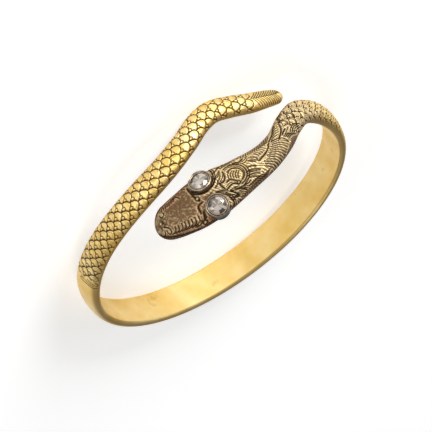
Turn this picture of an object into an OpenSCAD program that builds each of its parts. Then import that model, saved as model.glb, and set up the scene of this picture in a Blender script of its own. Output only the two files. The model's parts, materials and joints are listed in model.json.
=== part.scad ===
// Snake bangle: one open band that passes itself across the front of the wrist.
// One end is a tapering scaled tail, the other a flat head with two round cut stones for eyes.
// Lengths are millimetres. The bangle lies on its side, as it rests on a table.

/* [Wrist opening] */
// Half the width of the opening, side to side
wrist_a = 30; // [27:0.5:36]
// Half the depth of the opening, front to back
wrist_b = 27; // [25:0.5:34]

/* [Band] */
// Width of the plain band
band_w = 7.4; // [6.5:0.1:8.5]
// Thickness of the plain band at its crown
band_t = 2.3; // [2:0.1:2.8]

/* [Tail] */
// Width of the tail at its low bend
tail_w = 5; // [4.4:0.1:6]
// Thickness of the tail at its low bend
tail_t = 2.5; // [2.2:0.1:2.8]
// How far the low bend sinks below the middle of the band
tail_drop = 6; // [5:0.1:7]
// Length of the rounding at the tip
tail_round = 2.2; // [1.5:0.1:3]

/* [Neck and head] */
// Width of the neck at its narrowest
neck_w = 5.6; // [5:0.1:6.5]
// Thickness of the neck at its narrowest
neck_t = 3; // [2.6:0.1:3.4]
// Width of the head across the eyes
head_w = 10.1; // [9.4:0.1:10.8]
// Thickness of the head at the eyes
head_t = 3.2; // [3:0.1:3.6]
// How far the head stands above the middle of the band
head_rise = 10.2; // [9.6:0.1:10.6]
// Length of the rounding at the snout
snout_round = 3; // [2:0.1:3.6]

/* [Scales] */
// Length of one scale along the body
scale_pitch = 2.5; // [2.2:0.1:3]
// Height of the scales above the lines between them
scale_rise = 0.2; // [0.1:0.02:0.25]
// How far the free edge of a scale bows towards the tail
scale_bow = 0.16; // [0:0.02:0.24]

/* [Eyes] */
// Diameter of a stone
stone_d = 4; // [3.6:0.1:4.2]
// Clearance between a stone and its collet
stone_gap = 0.08; // [0.06:0.01:0.12]
// Width of the metal round a stone
collet_wall = 0.42; // [0.36:0.02:0.5]
// Half the distance between the middles of the stones
eye_apart = 3.3; // [3.1:0.05:3.5]
// How far each stone leans outwards, in degrees
eye_tilt = 13; // [8:1:16]
// Height of the stones' girdles above the inner wall
eye_height = 3.15; // [3.1:0.05:3.4]

/* [Rest] */
// How far the front is lifted by the tail, in degrees
rest_lean = 4.8; // [4:0.1:6]
// How far the bangle tips sideways at rest, in degrees
rest_roll = 1.1; // [0:0.1:2]

/* [Hidden] */
STONE_SIDES = [1, -1];

// The way of the body round the wrist, from the tip of the tail to the snout.
// Columns: angle from the front, height of the middle, width, thickness,
// share of the thickness below the widest line, fullness of the crown (1 for a true half oval)
COURSE = [
  [-44.5, -0.8 * tail_drop, 0.58 * tail_w, 0.7 * tail_t, 0.35, 0.95],
  [-36, -0.75 * tail_drop, 0.78 * tail_w, 0.84 * tail_t, 0.35, 0.95],
  [-26, -0.75 * tail_drop, 0.92 * tail_w, 0.96 * tail_t, 0.35, 0.95],
  [-17, -0.9 * tail_drop, 0.98 * tail_w, tail_t, 0.35, 0.95],
  [-10, -tail_drop, tail_w, tail_t, 0.35, 0.95],
  [-3, -0.85 * tail_drop, 1.02 * tail_w, tail_t, 0.35, 0.95],
  [5, -0.52 * tail_drop, 1.06 * tail_w, tail_t, 0.35, 0.95],
  [15, -0.23 * tail_drop, 1.12 * tail_w, tail_t, 0.35, 0.95],
  [25, -0.08 * tail_drop, 1.18 * tail_w, tail_t, 0.35, 0.95],
  [40, 0, 0.82 * band_w, 1.04 * band_t, 0.35, 0.95],
  [60, 0, 0.86 * band_w, band_t, 0.35, 0.95],
  [80, 0, 0.94 * band_w, band_t, 0.35, 0.95],
  [95, 0, band_w, band_t, 0.35, 0.95],
  [180, 0, band_w, band_t, 0.35, 0.95],
  [250, 0, band_w, band_t, 0.35, 0.95],
  [275, 0, 0.95 * band_w, 1.04 * band_t, 0.35, 0.95],
  [290, 0, 0.88 * band_w, 1.08 * band_t, 0.35, 0.95],
  [305, 0, 1.02 * neck_w, 0.9 * neck_t, 0.35, 0.95],
  [315, 0.07 * head_rise, neck_w, 0.97 * neck_t, 0.35, 0.95],
  [325, 0.33 * head_rise, neck_w, neck_t, 0.35, 0.95],
  [335, 0.68 * head_rise, neck_w, 1.03 * neck_t, 0.38, 0.95],
  [345, 0.9 * head_rise, 1.14 * neck_w, 1.03 * neck_t, 0.42, 0.9],
  [357, head_rise, 0.8 * head_w, head_t, 0.48, 0.85],
  [367, 1.01 * head_rise, 0.99 * head_w, head_t, 0.52, 0.8],
  [376, 0.99 * head_rise, head_w, 0.98 * head_t, 0.52, 0.8],
  [384, 0.92 * head_rise, 0.86 * head_w, 0.92 * head_t, 0.52, 0.8],
  [390, 0.84 * head_rise, 0.7 * head_w, 0.86 * head_t, 0.52, 0.85],
  [394.5, 0.78 * head_rise, 0.58 * head_w, 0.76 * head_t, 0.52, 0.9]
];
COURSE_START = COURSE[0][0];
COURSE_END = COURSE[len(COURSE) - 1][0];

// Fullness of the sides of the crown, and width of each inner corner as a share of the base share
side_fullness = 0.9;
corner_share = 0.4;

// Tangent of a column at one row, and smooth reading of a column at any angle
function tangent(i, k) =
  let (a = max(i - 1, 0), b = min(i + 1, len(COURSE) - 1))
  (COURSE[b][k] - COURSE[a][k]) / (COURSE[b][0] - COURSE[a][0]);
function row_before(t, i = 0) =
  i >= len(COURSE) - 2 || t < COURSE[i + 1][0] ? i : row_before(t, i + 1);
function read(t, k) =
  let (
    i = row_before(t),
    w = COURSE[i + 1][0] - COURSE[i][0],
    u = (t - COURSE[i][0]) / w,
    p = COURSE[i][k],
    q = COURSE[i + 1][k]
  )
  p + (q - p) * u * u * (3 - 2 * u)
    + w * u * (1 - u) * (tangent(i, k) * (1 - u) - tangent(i + 1, k) * u);

// A point at height z on the oval of the wrist, pushed out from it by h
function at_wrist(t, z, h) =
  let (m = norm([wrist_b * sin(t), wrist_a * cos(t)]))
  [wrist_a * sin(t) + h * wrist_b * sin(t) / m, -wrist_b * cos(t) - h * wrist_a * cos(t) / m, z];
// Length along the oval for one degree, and rise of the way for one degree
function per_degree(t) = norm([wrist_a * cos(t), wrist_b * sin(t)]) * PI / 180;
function climb(t) = read(t + 0.5, 1) - read(t - 0.5, 1);

// Length along the way at each half degree, from the tip of the tail, and the same turned round
WAY = [
  for (
    t = COURSE_START, s = 0;
    t <= COURSE_END;
    s = s + norm([per_degree(t), climb(t)]) / 2, t = t + 0.5
  ) [s, t]
];
LENGTH = WAY[len(WAY) - 1][0];
WAY_BACK = [for (row = WAY) [row[1], row[0]]];

// How much of the full section is left near each rounded end
function ending(back, reach) = back >= reach ? 1 : sqrt(max(0, 1 - pow(1 - back / reach, 2)));

// A point of the body at length s, x across and h out, in the frame of the wrist
function on_body(s, x, h) =
  let (t = lookup(s, WAY), g = per_degree(t), c = climb(t), m = norm([g, c]))
  at_wrist(t - c * x / (m * g), read(t, 1) + g * x / m, h);

// Rings: dome points across the crown, then the flat inner face with its rounded corners
DOME = 16;
MARGIN = 0.07;
SPREAD = 10;
function dome_share(j) =
  j < 2 ? j * MARGIN / 2
  : j > DOME - 2 ? 1 - (DOME - j) * MARGIN / 2
  : MARGIN + (j - 2) * (1 - 2 * MARGIN) / (DOME - 4);
function dome_angle(j) = 180 * dome_share(j) + SPREAD * sin(360 * dome_share(j));
function bulge(v, p) = sign(v) * pow(abs(v), p);

// Scales lie in a lattice of four steps to a scale along the body and four across it.
// The lines between scales run through the corners and the odd points. Each scale is highest
// near its free edge, which points to the tail.
function on_line(i, j) =
  (i % 2 == 1 && j % 2 == 1) || (i % 4 == 0 && j % 4 == 0) || (i % 4 == 2 && j % 4 == 2);
function is_middle(i, j) = (i % 4 == 0 && j % 4 == 2) || (i % 4 == 2 && j % 4 == 0);
function scale_height(i, j) =
  on_line(i, j) ? 0
  : is_middle(i, j) ? 0.85
  : j % 2 == 1 ? 0.7
  : is_middle(i + 1, j) ? 1 : 0.45;
function in_lattice(j) = j >= 2 && j <= DOME - 2;

// Rings of the whole body. Columns: length from the tip, step in the scale lattice, strength
END_TURNS = [10, 25, 40, 55, 72];
STEP = scale_pitch / 4;
// The neck's scales are shorter than the tail's
NECK_STEP = 0.86 * STEP;
TAIL_SCALES_FROM = 7.5;
TAIL_SCALES_TO = lookup(78, WAY_BACK);
NECK_SCALES_FROM = lookup(283, WAY_BACK);
NECK_SCALES_TO = lookup(331, WAY_BACK);
HEAD_STEP = 0.75;
BAND_STEP = 3.2;
TAIL_COUNT = 4 * round((TAIL_SCALES_TO - TAIL_SCALES_FROM) / scale_pitch);
NECK_COUNT = 4 * round((NECK_SCALES_TO - NECK_SCALES_FROM) / NECK_STEP / 4);
TAIL_END = TAIL_SCALES_FROM + TAIL_COUNT * STEP;
NECK_END = NECK_SCALES_FROM + NECK_COUNT * NECK_STEP;
function evenly(a, b, step) =
  let (n = ceil((b - a) / step))
  [for (i = [1:n - 1]) a + i * (b - a) / n];
// Strength of the scales, which fade in over one scale at each end of a field
function fade(i, n) = min(1, min(i, n - i) / 4);
RINGS = concat(
  [for (a = END_TURNS) [tail_round * (1 - cos(a)), -1, 0]],
  [for (s = evenly(tail_round * 0.69, TAIL_SCALES_FROM, 0.9)) [s, -1, 0]],
  [for (i = [0:TAIL_COUNT]) [TAIL_SCALES_FROM + i * STEP, i, fade(i, TAIL_COUNT)]],
  [for (s = evenly(TAIL_END, NECK_SCALES_FROM, BAND_STEP)) [s, -1, 0]],
  [for (i = [0:NECK_COUNT]) [NECK_SCALES_FROM + i * NECK_STEP, i, fade(i, NECK_COUNT)]],
  [for (s = evenly(NECK_END, LENGTH - snout_round * 0.69, HEAD_STEP)) [s, -1, 0]],
  [for (k = [len(END_TURNS) - 1:-1:0]) [LENGTH - snout_round * (1 - cos(END_TURNS[k])), -1, 0]]
);

// Forms of the head, as soft swellings and hollows on the crown.
// Columns: length back from the snout, distance across, reach along, reach across, rise
eye_back = 12.6;
HEAD_FORMS = [
  [2.4, 0, 0.8, 0.8, 0.22],
  [5.4, 0, 2.2, 1.5, 0.18],
  [8.4, 0, 2.0, 2.1, 0.15],
  [eye_back, eye_apart, 2.2, 1.8, 0.25],
  [eye_back, -eye_apart, 2.2, 1.8, 0.25],
  [eye_back + 1, 0, 2.4, 0.8, -0.2],
  [eye_back + 6.5, 1.6, 2.6, 1.2, 0.15],
  [eye_back + 6.5, -1.6, 2.6, 1.2, 0.15]
];
function soft_form(row, back, x) =
  row[4] * exp(-pow((back - row[0]) / row[2], 2) - pow((x - row[1]) / row[3], 2));
function total(list, i = 0) = i >= len(list) ? 0 : list[i] + total(list, i + 1);
function head_rise_at(back, x) =
  back > 26 ? 0 : total([for (row = HEAD_FORMS) soft_form(row, back, x)]);
// The line of the mouth, pressed in along both sides of the snout
mouth_depth = 0.22;
mouth_back = 11;
function mouth(back, j) =
  (j == 2 || j == DOME - 2) && back > 1 && back < mouth_back
    ? -mouth_depth * min(1, (mouth_back - back) / 3) : 0;

// One point of the crown: on the smooth form, then raised by scales or the forms of the head
function crown_point(ring, j) =
  let (
    a = dome_angle(j),
    scaled = ring[1] >= 0 && in_lattice(j),
    bow = scaled && ring[1] % 2 == 1 && j % 2 == 1 ? -scale_bow * ring[2] : 0,
    s = ring[0] + bow,
    t = lookup(s, WAY),
    end = ending(s, tail_round) * ending(LENGTH - s, snout_round),
    w = read(t, 2) * end / 2,
    thick = read(t, 3) * sqrt(end),
    base = read(t, 4) * thick,
    top = thick - base,
    x = w * bulge(cos(a), side_fullness),
    h = base + top * bulge(sin(a), read(t, 5)),
    lean = norm([cos(a) / w, sin(a) / top]),
    rise = (scaled ? scale_rise * (scale_height(ring[1], j - 2) - 0.7) * ring[2] : 0)
      + (head_rise_at(LENGTH - s, x) + mouth(LENGTH - s, j)) * min(1, end * end)
  )
  on_body(s, x + rise * cos(a) / w / lean, h + rise * sin(a) / top / lean);

// One point of the inner side, given as shares of the half width and of the corner's height
INNER_SIDE = [[-1, 0.3], [-1, 0], [0, 0], [1, 0], [1, 0.3]];
function inner_point(ring, k) =
  let (
    s = ring[0],
    t = lookup(s, WAY),
    end = ending(s, tail_round) * ending(LENGTH - s, snout_round),
    w = read(t, 2) * end / 2,
    share = read(t, 4),
    base = share * read(t, 3) * sqrt(end),
    inset = corner_share * share * (INNER_SIDE[k][1] > 0 ? 0.3 : 1)
  )
  on_body(s, INNER_SIDE[k][0] * w * (1 - inset), INNER_SIDE[k][1] * base);

RING_POINTS = DOME + 1 + len(INNER_SIDE);
BODY_POINTS = [
  for (ring = RINGS)
    for (p = concat(
      [for (j = [0:DOME]) crown_point(ring, j)],
      [for (k = [0:len(INNER_SIDE) - 1]) inner_point(ring, k)]
    )) p
];
// Two triangles for each patch, split along the lines between the scales
function splits_on_line(i, j) = ((i + j) % 2 == 0) == on_line(i + i % 2, j + j % 2);
function patch(r, j) =
  let (
    a = r * RING_POINTS + j,
    b = r * RING_POINTS + (j + 1) % RING_POINTS,
    c = b + RING_POINTS,
    d = a + RING_POINTS,
    i = RINGS[r][1],
    scaled = i >= 0 && RINGS[r + 1][1] >= 0 && in_lattice(j) && in_lattice(j + 1)
  )
  !scaled || splits_on_line(i, j - 2) ? [[a, c, b], [a, d, c]] : [[a, d, b], [b, d, c]];
BODY_FACES = concat(
  [for (r = [0:len(RINGS) - 2]) for (j = [0:RING_POINTS - 1]) for (f = patch(r, j)) f],
  [for (j = [1:RING_POINTS - 2]) [0, j, j + 1]],
  [for (j = [1:RING_POINTS - 2])
    let (z = (len(RINGS) - 1) * RING_POINTS) [z, z + j + 1, z + j]]
);

// A stone sits on the head, leaning outwards. Its own frame has the girdle at 0 and up outwards.
function eye_middle(side) = on_body(LENGTH - eye_back, side * eye_apart, eye_height);
function eye_axis(side) =
  let (
    s = LENGTH - eye_back,
    foot = on_body(s, 0, 0),
    out = on_body(s, 0, 1) - foot,
    over = on_body(s, 1, 0) - foot,
    v = out * cos(eye_tilt) + side * over * sin(eye_tilt)
  )
  v / norm(v);
module at_eye(side) {
  v = eye_axis(side);
  translate(eye_middle(side)) rotate([0, acos(v[2]), atan2(v[1], v[0])]) children();
}

// The cut of a stone. Columns: corners, radius, height, turn in degrees
stone_r = stone_d / 2;
CUT = [
  [8, 0.56 * stone_r, 0.3 * stone_r, 22.5],
  [8, 0.8 * stone_r, 0.19 * stone_r, 0],
  [16, stone_r, 0.03 * stone_r, 0],
  [16, stone_r, -0.03 * stone_r, 0],
  [8, 0.5 * stone_r, -0.33 * stone_r, 0],
  [8, 0.05 * stone_r, -0.58 * stone_r, 0]
];
CUT_POINTS = [
  for (row = CUT) for (k = [0:row[0] - 1])
    let (a = row[3] + 360 * k / row[0]) [row[1] * cos(a), row[1] * sin(a), row[2]]
];
// Facets of the crown, the girdle and the pavilion, for each eighth of the stone
CUT_FACES = concat(
  [[7, 6, 5, 4, 3, 2, 1, 0]],
  [for (k = [0:7]) let (n = (k + 1) % 8) each [
    [k, n, 8 + n],
    [k, 8 + n, 16 + 2 * k + 1, 8 + k],
    [8 + k, 16 + 2 * k + 1, 16 + 2 * k],
    [8 + n, 16 + 2 * n, 16 + 2 * k + 1],
    [16 + 2 * k, 16 + 2 * k + 1, 32 + 2 * k + 1, 32 + 2 * k],
    [16 + 2 * k + 1, 16 + 2 * n, 32 + 2 * n, 32 + 2 * k + 1],
    [32 + 2 * k, 32 + 2 * k + 1, 48 + k],
    [32 + 2 * k + 1, 48 + n, 48 + k],
    [32 + 2 * k + 1, 32 + 2 * n, 48 + n],
    [48 + k, 48 + n, 56 + n, 56 + k]
  ]],
  [[for (k = [0:7]) 56 + k]]
);

// The collet round a stone, as a turned outline. Its base is sunk in the head
collet_r = stone_r + stone_gap + collet_wall;
collet_sink = 1.5;
rim_up = 0.42;
lip_r = 0.92 * stone_r;
COLLET_OUTLINE = [
  [0, -collet_sink],
  [1.06 * collet_r, -collet_sink],
  [collet_r, 0],
  [collet_r - 0.08, rim_up - 0.14],
  [collet_r - 0.22, rim_up],
  [0, rim_up]
];
// The room for the stone: a seat along the pavilion, a bore round the girdle and a lip over it
seat_r = stone_r + stone_gap;
SEAT_OUTLINE = [
  [0, CUT[5][2] - 2 * stone_gap],
  [CUT[5][1] + stone_gap, CUT[5][2] - 2 * stone_gap],
  [CUT[4][1] + stone_gap, CUT[4][2] - 1.2 * stone_gap],
  [seat_r, CUT[3][2] - stone_gap],
  [seat_r, CUT[2][2] + stone_gap],
  [lip_r, CUT[2][2] + 2.6 * stone_gap],
  [lip_r, rim_up + 1],
  [0, rim_up + 1]
];

// The bangle's place at rest: leaning as it lies, its lowest point at 0, its box centred over 0
function leaned(p) =
  [p[0], p[1] * cos(rest_lean) + p[2] * sin(rest_lean), p[2] * cos(rest_lean) - p[1] * sin(rest_lean)];
function rolled(p) =
  [p[0] * cos(rest_roll) + p[2] * sin(rest_roll), p[1], p[2] * cos(rest_roll) - p[0] * sin(rest_roll)];
function rested(p) = rolled(leaned(p));
// Lowest reach along Y of a flat disc that stands square to an eye's axis
function disc_front(side, up, r) =
  let (v = rested(eye_axis(side)), c = rested(eye_middle(side)) + up * v)
  c[1] - r * sqrt(1 - v[1] * v[1]);
RESTED = [for (p = BODY_POINTS) rested(p)];
FRONTS = [
  for (side = STONE_SIDES)
    each [disc_front(side, rim_up, collet_r - 0.22), disc_front(side, CUT[0][2], CUT[0][1])]
];
low_x = min([for (p = RESTED) p[0]]);
high_x = max([for (p = RESTED) p[0]]);
low_y = min(concat(FRONTS, [for (p = RESTED) p[1]]));
high_y = max([for (p = RESTED) p[1]]);
low_z = min([for (p = RESTED) p[2]]);
module at_rest() {
  translate([-(low_x + high_x) / 2, -(low_y + high_y) / 2, -low_z])
    rotate([0, rest_roll, 0]) rotate([-rest_lean, 0, 0]) children();
}

module body() {
  polyhedron(points = BODY_POINTS, faces = BODY_FACES, convexity = 6);
}

module collet() {
  rotate_extrude($fn = 48) polygon(COLLET_OUTLINE);
}

module seat() {
  rotate_extrude($fn = 48) polygon(SEAT_OUTLINE);
}

module eye_stone(side) {
  color("gainsboro") at_rest() at_eye(side)
    polyhedron(points = CUT_POINTS, faces = CUT_FACES, convexity = 2);
}

// The whole metal of the bangle, soldered into one piece
module snake() {
  color("goldenrod") at_rest() difference() {
    union() {
      body();
      for (side = STONE_SIDES) at_eye(side) collet();
    }
    for (side = STONE_SIDES) at_eye(side) seat();
  }
}

module eye_stone_near() { eye_stone(1); }
module eye_stone_far() { eye_stone(-1); }

snake();
eye_stone_near();
eye_stone_far();
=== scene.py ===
"""Looks of the snake bangle: engraved gold round its plain CAD solids, two cut stones and a pale stage.

The bangle is one swept form round an oval wrist. Tables say how it changes from the tip of the tail to the
snout, and Geometry Nodes sweep it, raise its scales and cut its engraving. The tables are in millimetres, and
MM turns them into metres.
"""
import json
import math

import bpy
import numpy as np
from mathutils import Matrix, Vector


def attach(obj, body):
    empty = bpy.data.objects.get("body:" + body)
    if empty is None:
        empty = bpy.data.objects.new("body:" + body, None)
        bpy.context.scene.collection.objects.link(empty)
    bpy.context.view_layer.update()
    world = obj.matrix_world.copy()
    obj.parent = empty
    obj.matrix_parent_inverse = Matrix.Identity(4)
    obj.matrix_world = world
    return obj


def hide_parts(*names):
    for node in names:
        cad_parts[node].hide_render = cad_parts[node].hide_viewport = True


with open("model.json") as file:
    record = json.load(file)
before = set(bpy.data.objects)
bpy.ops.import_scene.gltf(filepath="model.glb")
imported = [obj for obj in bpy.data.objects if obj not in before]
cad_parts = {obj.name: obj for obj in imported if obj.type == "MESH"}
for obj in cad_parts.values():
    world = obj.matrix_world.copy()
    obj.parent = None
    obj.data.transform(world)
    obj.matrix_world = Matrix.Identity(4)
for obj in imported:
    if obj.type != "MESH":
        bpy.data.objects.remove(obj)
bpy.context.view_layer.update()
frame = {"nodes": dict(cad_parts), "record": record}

bl_info = {
    "name": "Snake bangle",
    "version": (1, 0, 0),
    "blender": (4, 5, 0),
    "location": "View3D > Sidebar > Snake bangle",
    "description": "Builds the looks of a snake bangle with engraved scales and cut stones for eyes",
    "category": "Add Mesh",
}

MM = 0.001
BODY = "root"
SNAKE = "snake"
STONES = {1: "eye_stone_near", -1: "eye_stone_far"}

# The wrist opening's mount tells where the middle of the oval lies and how the bangle leans at rest
OPENING = frame["record"]["mounts"][0]
WRIST_MIDDLE = Vector(OPENING["pos_m"])
WRIST_AXIS = Vector(OPENING["axis"]).normalized()


# Sizes and colours that a user would change

def length(name, description, millimetres):
    """A length that a user may change."""
    return bpy.props.FloatProperty(
        name=name, description=description, default=millimetres * MM, unit="LENGTH")


def colour(name, description, tone):
    """A colour that a user may change."""
    return bpy.props.FloatVectorProperty(
        name=name, description=description, default=tone, size=3, subtype="COLOR", min=0, max=1)


class BangleSizes(bpy.types.PropertyGroup):
    wrist_a: length("Half opening, side to side", "Half the width of the wrist opening", 30)
    wrist_b: length("Half opening, front to back", "Half the depth of the wrist opening", 27)
    band_w: length("Band width", "Width of the plain band", 7.4)
    band_t: length("Band thickness", "Thickness of the plain band at its crown", 2.3)
    tail_w: length("Tail width", "Width of the tail at its low bend", 5)
    tail_t: length("Tail thickness", "Thickness of the tail at its low bend", 2.5)
    tail_drop: length("Tail drop", "How far the low bend sinks below the middle of the band", 6)
    neck_w: length("Neck width", "Width of the neck at its narrowest", 5.6)
    neck_t: length("Neck thickness", "Thickness of the neck at its narrowest", 3)
    head_w: length("Head width", "Width of the head across the eyes", 10.1)
    head_t: length("Head thickness", "Thickness of the head at the eyes", 3.2)
    head_rise: length("Head rise", "How far the head stands above the middle of the band", 10.2)


class BangleFinish(bpy.types.PropertyGroup):
    gold_pale: colour("Pale gold", "Gold where it is polished most", (0.90, 0.72, 0.36))
    gold_deep: colour("Deep gold", "Gold where it is least worn", (0.76, 0.52, 0.15))
    # Flank gold: painted shade on the sides of the body, and the colour of its stains
    gold_stain_and_flank_shade: colour("Flank gold", "Gold on the sides that are seldom touched", (0.50, 0.28, 0.06))
    gold_recess: colour("Gold recess", "Shade in the lines cut in the gold", (0.05, 0.022, 0.003))
    bronze_light: colour("Light patina", "Worn ridges of the neck and the head", (0.82, 0.64, 0.36))
    bronze_dark: colour("Dark patina", "Brown patina of the neck and the head", (0.135, 0.078, 0.036))
    bronze_red: colour("Red patina", "Reddish patches of the dark patina", (0.165, 0.070, 0.033))
    bronze_recess: colour("Patina recess", "Lines cut in the neck and the head", (0.020, 0.010, 0.005))
    # The stones' facet colours are painted reflections, light and dark
    stone_painted_light: colour("Pale facets", "Tint of the stones' table and bright facets", (0.58, 0.51, 0.44))
    stone_painted_dark: colour("Deep facets", "Tint of the stones' dark facets", (0.035, 0.026, 0.016))
    line_width: length("Line width", "Half the width of an engraved line", 0.10)
    line_depth: length("Line depth", "Depth of an engraved line", 0.11)


# The rule of the body

COURSE_NAMES = ("turn", "level", "width", "thick", "share", "fullness")


def course(z):
    """Rows along the body, one for each bend: angle from the front in degrees, height of its middle, width,
    thickness, share of the thickness below the widest line, fullness of the crown."""
    band_w, band_t, tail_w, tail_t = z.band_w, z.band_t, z.tail_w, z.tail_t
    neck_w, neck_t, head_w, head_t = z.neck_w, z.neck_t, z.head_w, z.head_t
    drop, rise = -z.tail_drop, z.head_rise
    return np.array([
        (-44.5, 0.8 * drop, 0.58 * tail_w, 0.7 * tail_t, 0.35, 0.95),
        (-36, 0.75 * drop, 0.78 * tail_w, 0.84 * tail_t, 0.35, 0.95),
        (-26, 0.75 * drop, 0.92 * tail_w, 0.96 * tail_t, 0.35, 0.95),
        (-17, 0.9 * drop, 0.98 * tail_w, tail_t, 0.35, 0.95),
        (-10, drop, tail_w, tail_t, 0.35, 0.95),
        (-3, 0.85 * drop, 1.02 * tail_w, tail_t, 0.35, 0.95),
        (5, 0.52 * drop, 1.06 * tail_w, tail_t, 0.35, 0.95),
        (15, 0.23 * drop, 1.12 * tail_w, tail_t, 0.35, 0.95),
        (25, 0.08 * drop, 1.18 * tail_w, tail_t, 0.35, 0.95),
        (40, 0, 0.82 * band_w, 1.04 * band_t, 0.35, 0.95),
        (60, 0, 0.86 * band_w, band_t, 0.35, 0.95),
        (80, 0, 0.94 * band_w, band_t, 0.35, 0.95),
        (95, 0, band_w, band_t, 0.35, 0.95),
        (180, 0, band_w, band_t, 0.35, 0.95),
        (250, 0, band_w, band_t, 0.35, 0.95),
        (275, 0, 0.95 * band_w, 1.04 * band_t, 0.35, 0.95),
        (290, 0, 0.88 * band_w, 1.08 * band_t, 0.35, 0.95),
        (305, 0, 1.02 * neck_w, 0.9 * neck_t, 0.35, 0.95),
        (315, 0.07 * rise, neck_w, 0.97 * neck_t, 0.35, 0.95),
        (325, 0.33 * rise, neck_w, neck_t, 0.35, 0.95),
        (335, 0.68 * rise, neck_w, 1.03 * neck_t, 0.38, 0.95),
        (345, 0.9 * rise, 1.14 * neck_w, 1.03 * neck_t, 0.42, 0.9),
        (357, rise, 0.8 * head_w, head_t, 0.48, 0.85),
        (367, 1.01 * rise, 0.99 * head_w, head_t, 0.52, 0.8),
        (376, 0.99 * rise, head_w, 0.98 * head_t, 0.52, 0.8),
        (384, 0.92 * rise, 0.86 * head_w, 0.92 * head_t, 0.52, 0.8),
        (390, 0.84 * rise, 0.7 * head_w, 0.86 * head_t, 0.52, 0.85),
        (394.5, 0.78 * rise, 0.58 * head_w, 0.76 * head_t, 0.52, 0.9),
    ])


# The ends round off over these lengths
TAIL_ROUND = 2.2 * MM
SNOUT_ROUND = 3 * MM
# The section: power of its crown's roundness, share of the half width that a flank draws in if it is as high
# as the body is thick, and degrees by which the crown's points draw together at its middle
SIDE_FULLNESS = 0.9
CORNER_SHARE = 0.4
DOME_SPREAD = 10
# Readings of the course that its lengths are summed from, and points of an arc across the crown
COURSE_READINGS = 4001
GIRTH_POINTS = 61


class Way:
    """The way of the body round the wrist, read at any length from the tip of the tail."""

    def __init__(self, sizes):
        self.a, self.b = sizes.wrist_a, sizes.wrist_b
        self.rows = course(sizes)
        fine = np.linspace(self.rows[0, 0], self.rows[-1, 0], COURSE_READINGS)
        level = self.read(fine, "level")
        climb = np.gradient(level, fine)
        pace = np.hypot(self.per_degree(fine), climb)
        lengths = np.concatenate([[0], np.cumsum((pace[1:] + pace[:-1]) / 2 * np.diff(fine))])
        self.fine, self.climbs, self.lengths = fine, climb, lengths
        self.length = lengths[-1]

    def read(self, turn, name):
        """A column of the course at any angle, on a smooth curve through its rows."""
        x, y = self.rows[:, 0], self.rows[:, COURSE_NAMES.index(name)]
        slope = np.empty(len(x))
        slope[1:-1] = (y[2:] - y[:-2]) / (x[2:] - x[:-2])
        slope[0] = (y[1] - y[0]) / (x[1] - x[0])
        slope[-1] = (y[-1] - y[-2]) / (x[-1] - x[-2])
        i = np.clip(np.searchsorted(x, turn, side="right") - 1, 0, len(x) - 2)
        w = x[i + 1] - x[i]
        u = (turn - x[i]) / w
        bend = w * u * (1 - u) * (slope[i] * (1 - u) - slope[i + 1] * u)
        return y[i] + (y[i + 1] - y[i]) * u * u * (3 - 2 * u) + bend

    def per_degree(self, turn):
        t = np.radians(turn)
        return np.hypot(self.a * np.cos(t), self.b * np.sin(t)) * math.pi / 180

    def turn_at(self, along):
        return np.interp(along, self.lengths, self.fine)

    def along_at(self, turn):
        return np.interp(turn, self.fine, self.lengths)

    def ending(self, along):
        """How much of the full section is left near each rounded end."""
        def left(back, reach):
            return np.sqrt(1 - (1 - np.clip(back / reach, 0, 1)) ** 2)
        return left(along, TAIL_ROUND) * left(self.length - along, SNOUT_ROUND)

    def section(self, along):
        """Half width, thickness and height of the widest line."""
        turn, end = self.turn_at(along), self.ending(along)
        thick = self.read(turn, "thick") * np.sqrt(end)
        return self.read(turn, "width") * end / 2, thick, self.read(turn, "share") * thick

    def crown(self, along, share):
        """Place across and out of a point of the crown, where share runs from 0 to 1 over it."""
        w, thick, base = self.section(along)
        a = np.radians(180 * share + DOME_SPREAD * np.sin(2 * math.pi * share))
        x = w * np.sign(np.cos(a)) * np.abs(np.cos(a)) ** SIDE_FULLNESS
        fullness = self.read(self.turn_at(along), "fullness")
        return x, base + (thick - base) * np.abs(np.sin(a)) ** fullness

    def girth(self, along):
        """Length of the crown's arc across the body."""
        x, h = self.crown(along, np.linspace(0, 1, GIRTH_POINTS))
        return float(np.hypot(np.diff(x), np.diff(h)).sum())

    def on_body(self, along, x, h):
        """A point at some length, x across and h out, in the frame of the wrist."""
        turn = self.turn_at(along)
        pace, climb = self.per_degree(turn), np.interp(turn, self.fine, self.climbs)
        m = np.hypot(pace, climb)
        t = np.radians(turn - climb * x / (m * pace))
        z = self.read(turn, "level") + pace * x / m
        nx, ny = self.b * np.sin(t), -self.a * np.cos(t)
        n = np.hypot(nx, ny)
        wide, deep = self.a * np.sin(t) + h * nx / n, -self.b * np.cos(t) + h * ny / n
        return np.stack(np.broadcast_arrays(wide, deep, z), -1)


def rest_matrix():
    """From the frame of the wrist to the place where the bangle lies at rest."""
    lean = math.asin(WRIST_AXIS.y)
    roll = math.atan2(WRIST_AXIS.x, WRIST_AXIS.z)
    return Matrix.Translation(WRIST_MIDDLE) @ Matrix.Rotation(roll, 4, "Y") @ Matrix.Rotation(-lean, 4, "X")


# Node trees as expressions

def arithmetic(operation, turned=False):
    """The method of a Python operator, which adds a Math node. A turned one swaps its two values."""
    def apply(self, other):
        values = (other, self) if turned else (self, other)
        return self.graph.math(operation, *values)
    return apply


def formula(operation):
    """A method of a graph that adds one Math node."""
    def apply(self, *values):
        return self.math(operation, *values)
    return apply


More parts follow.
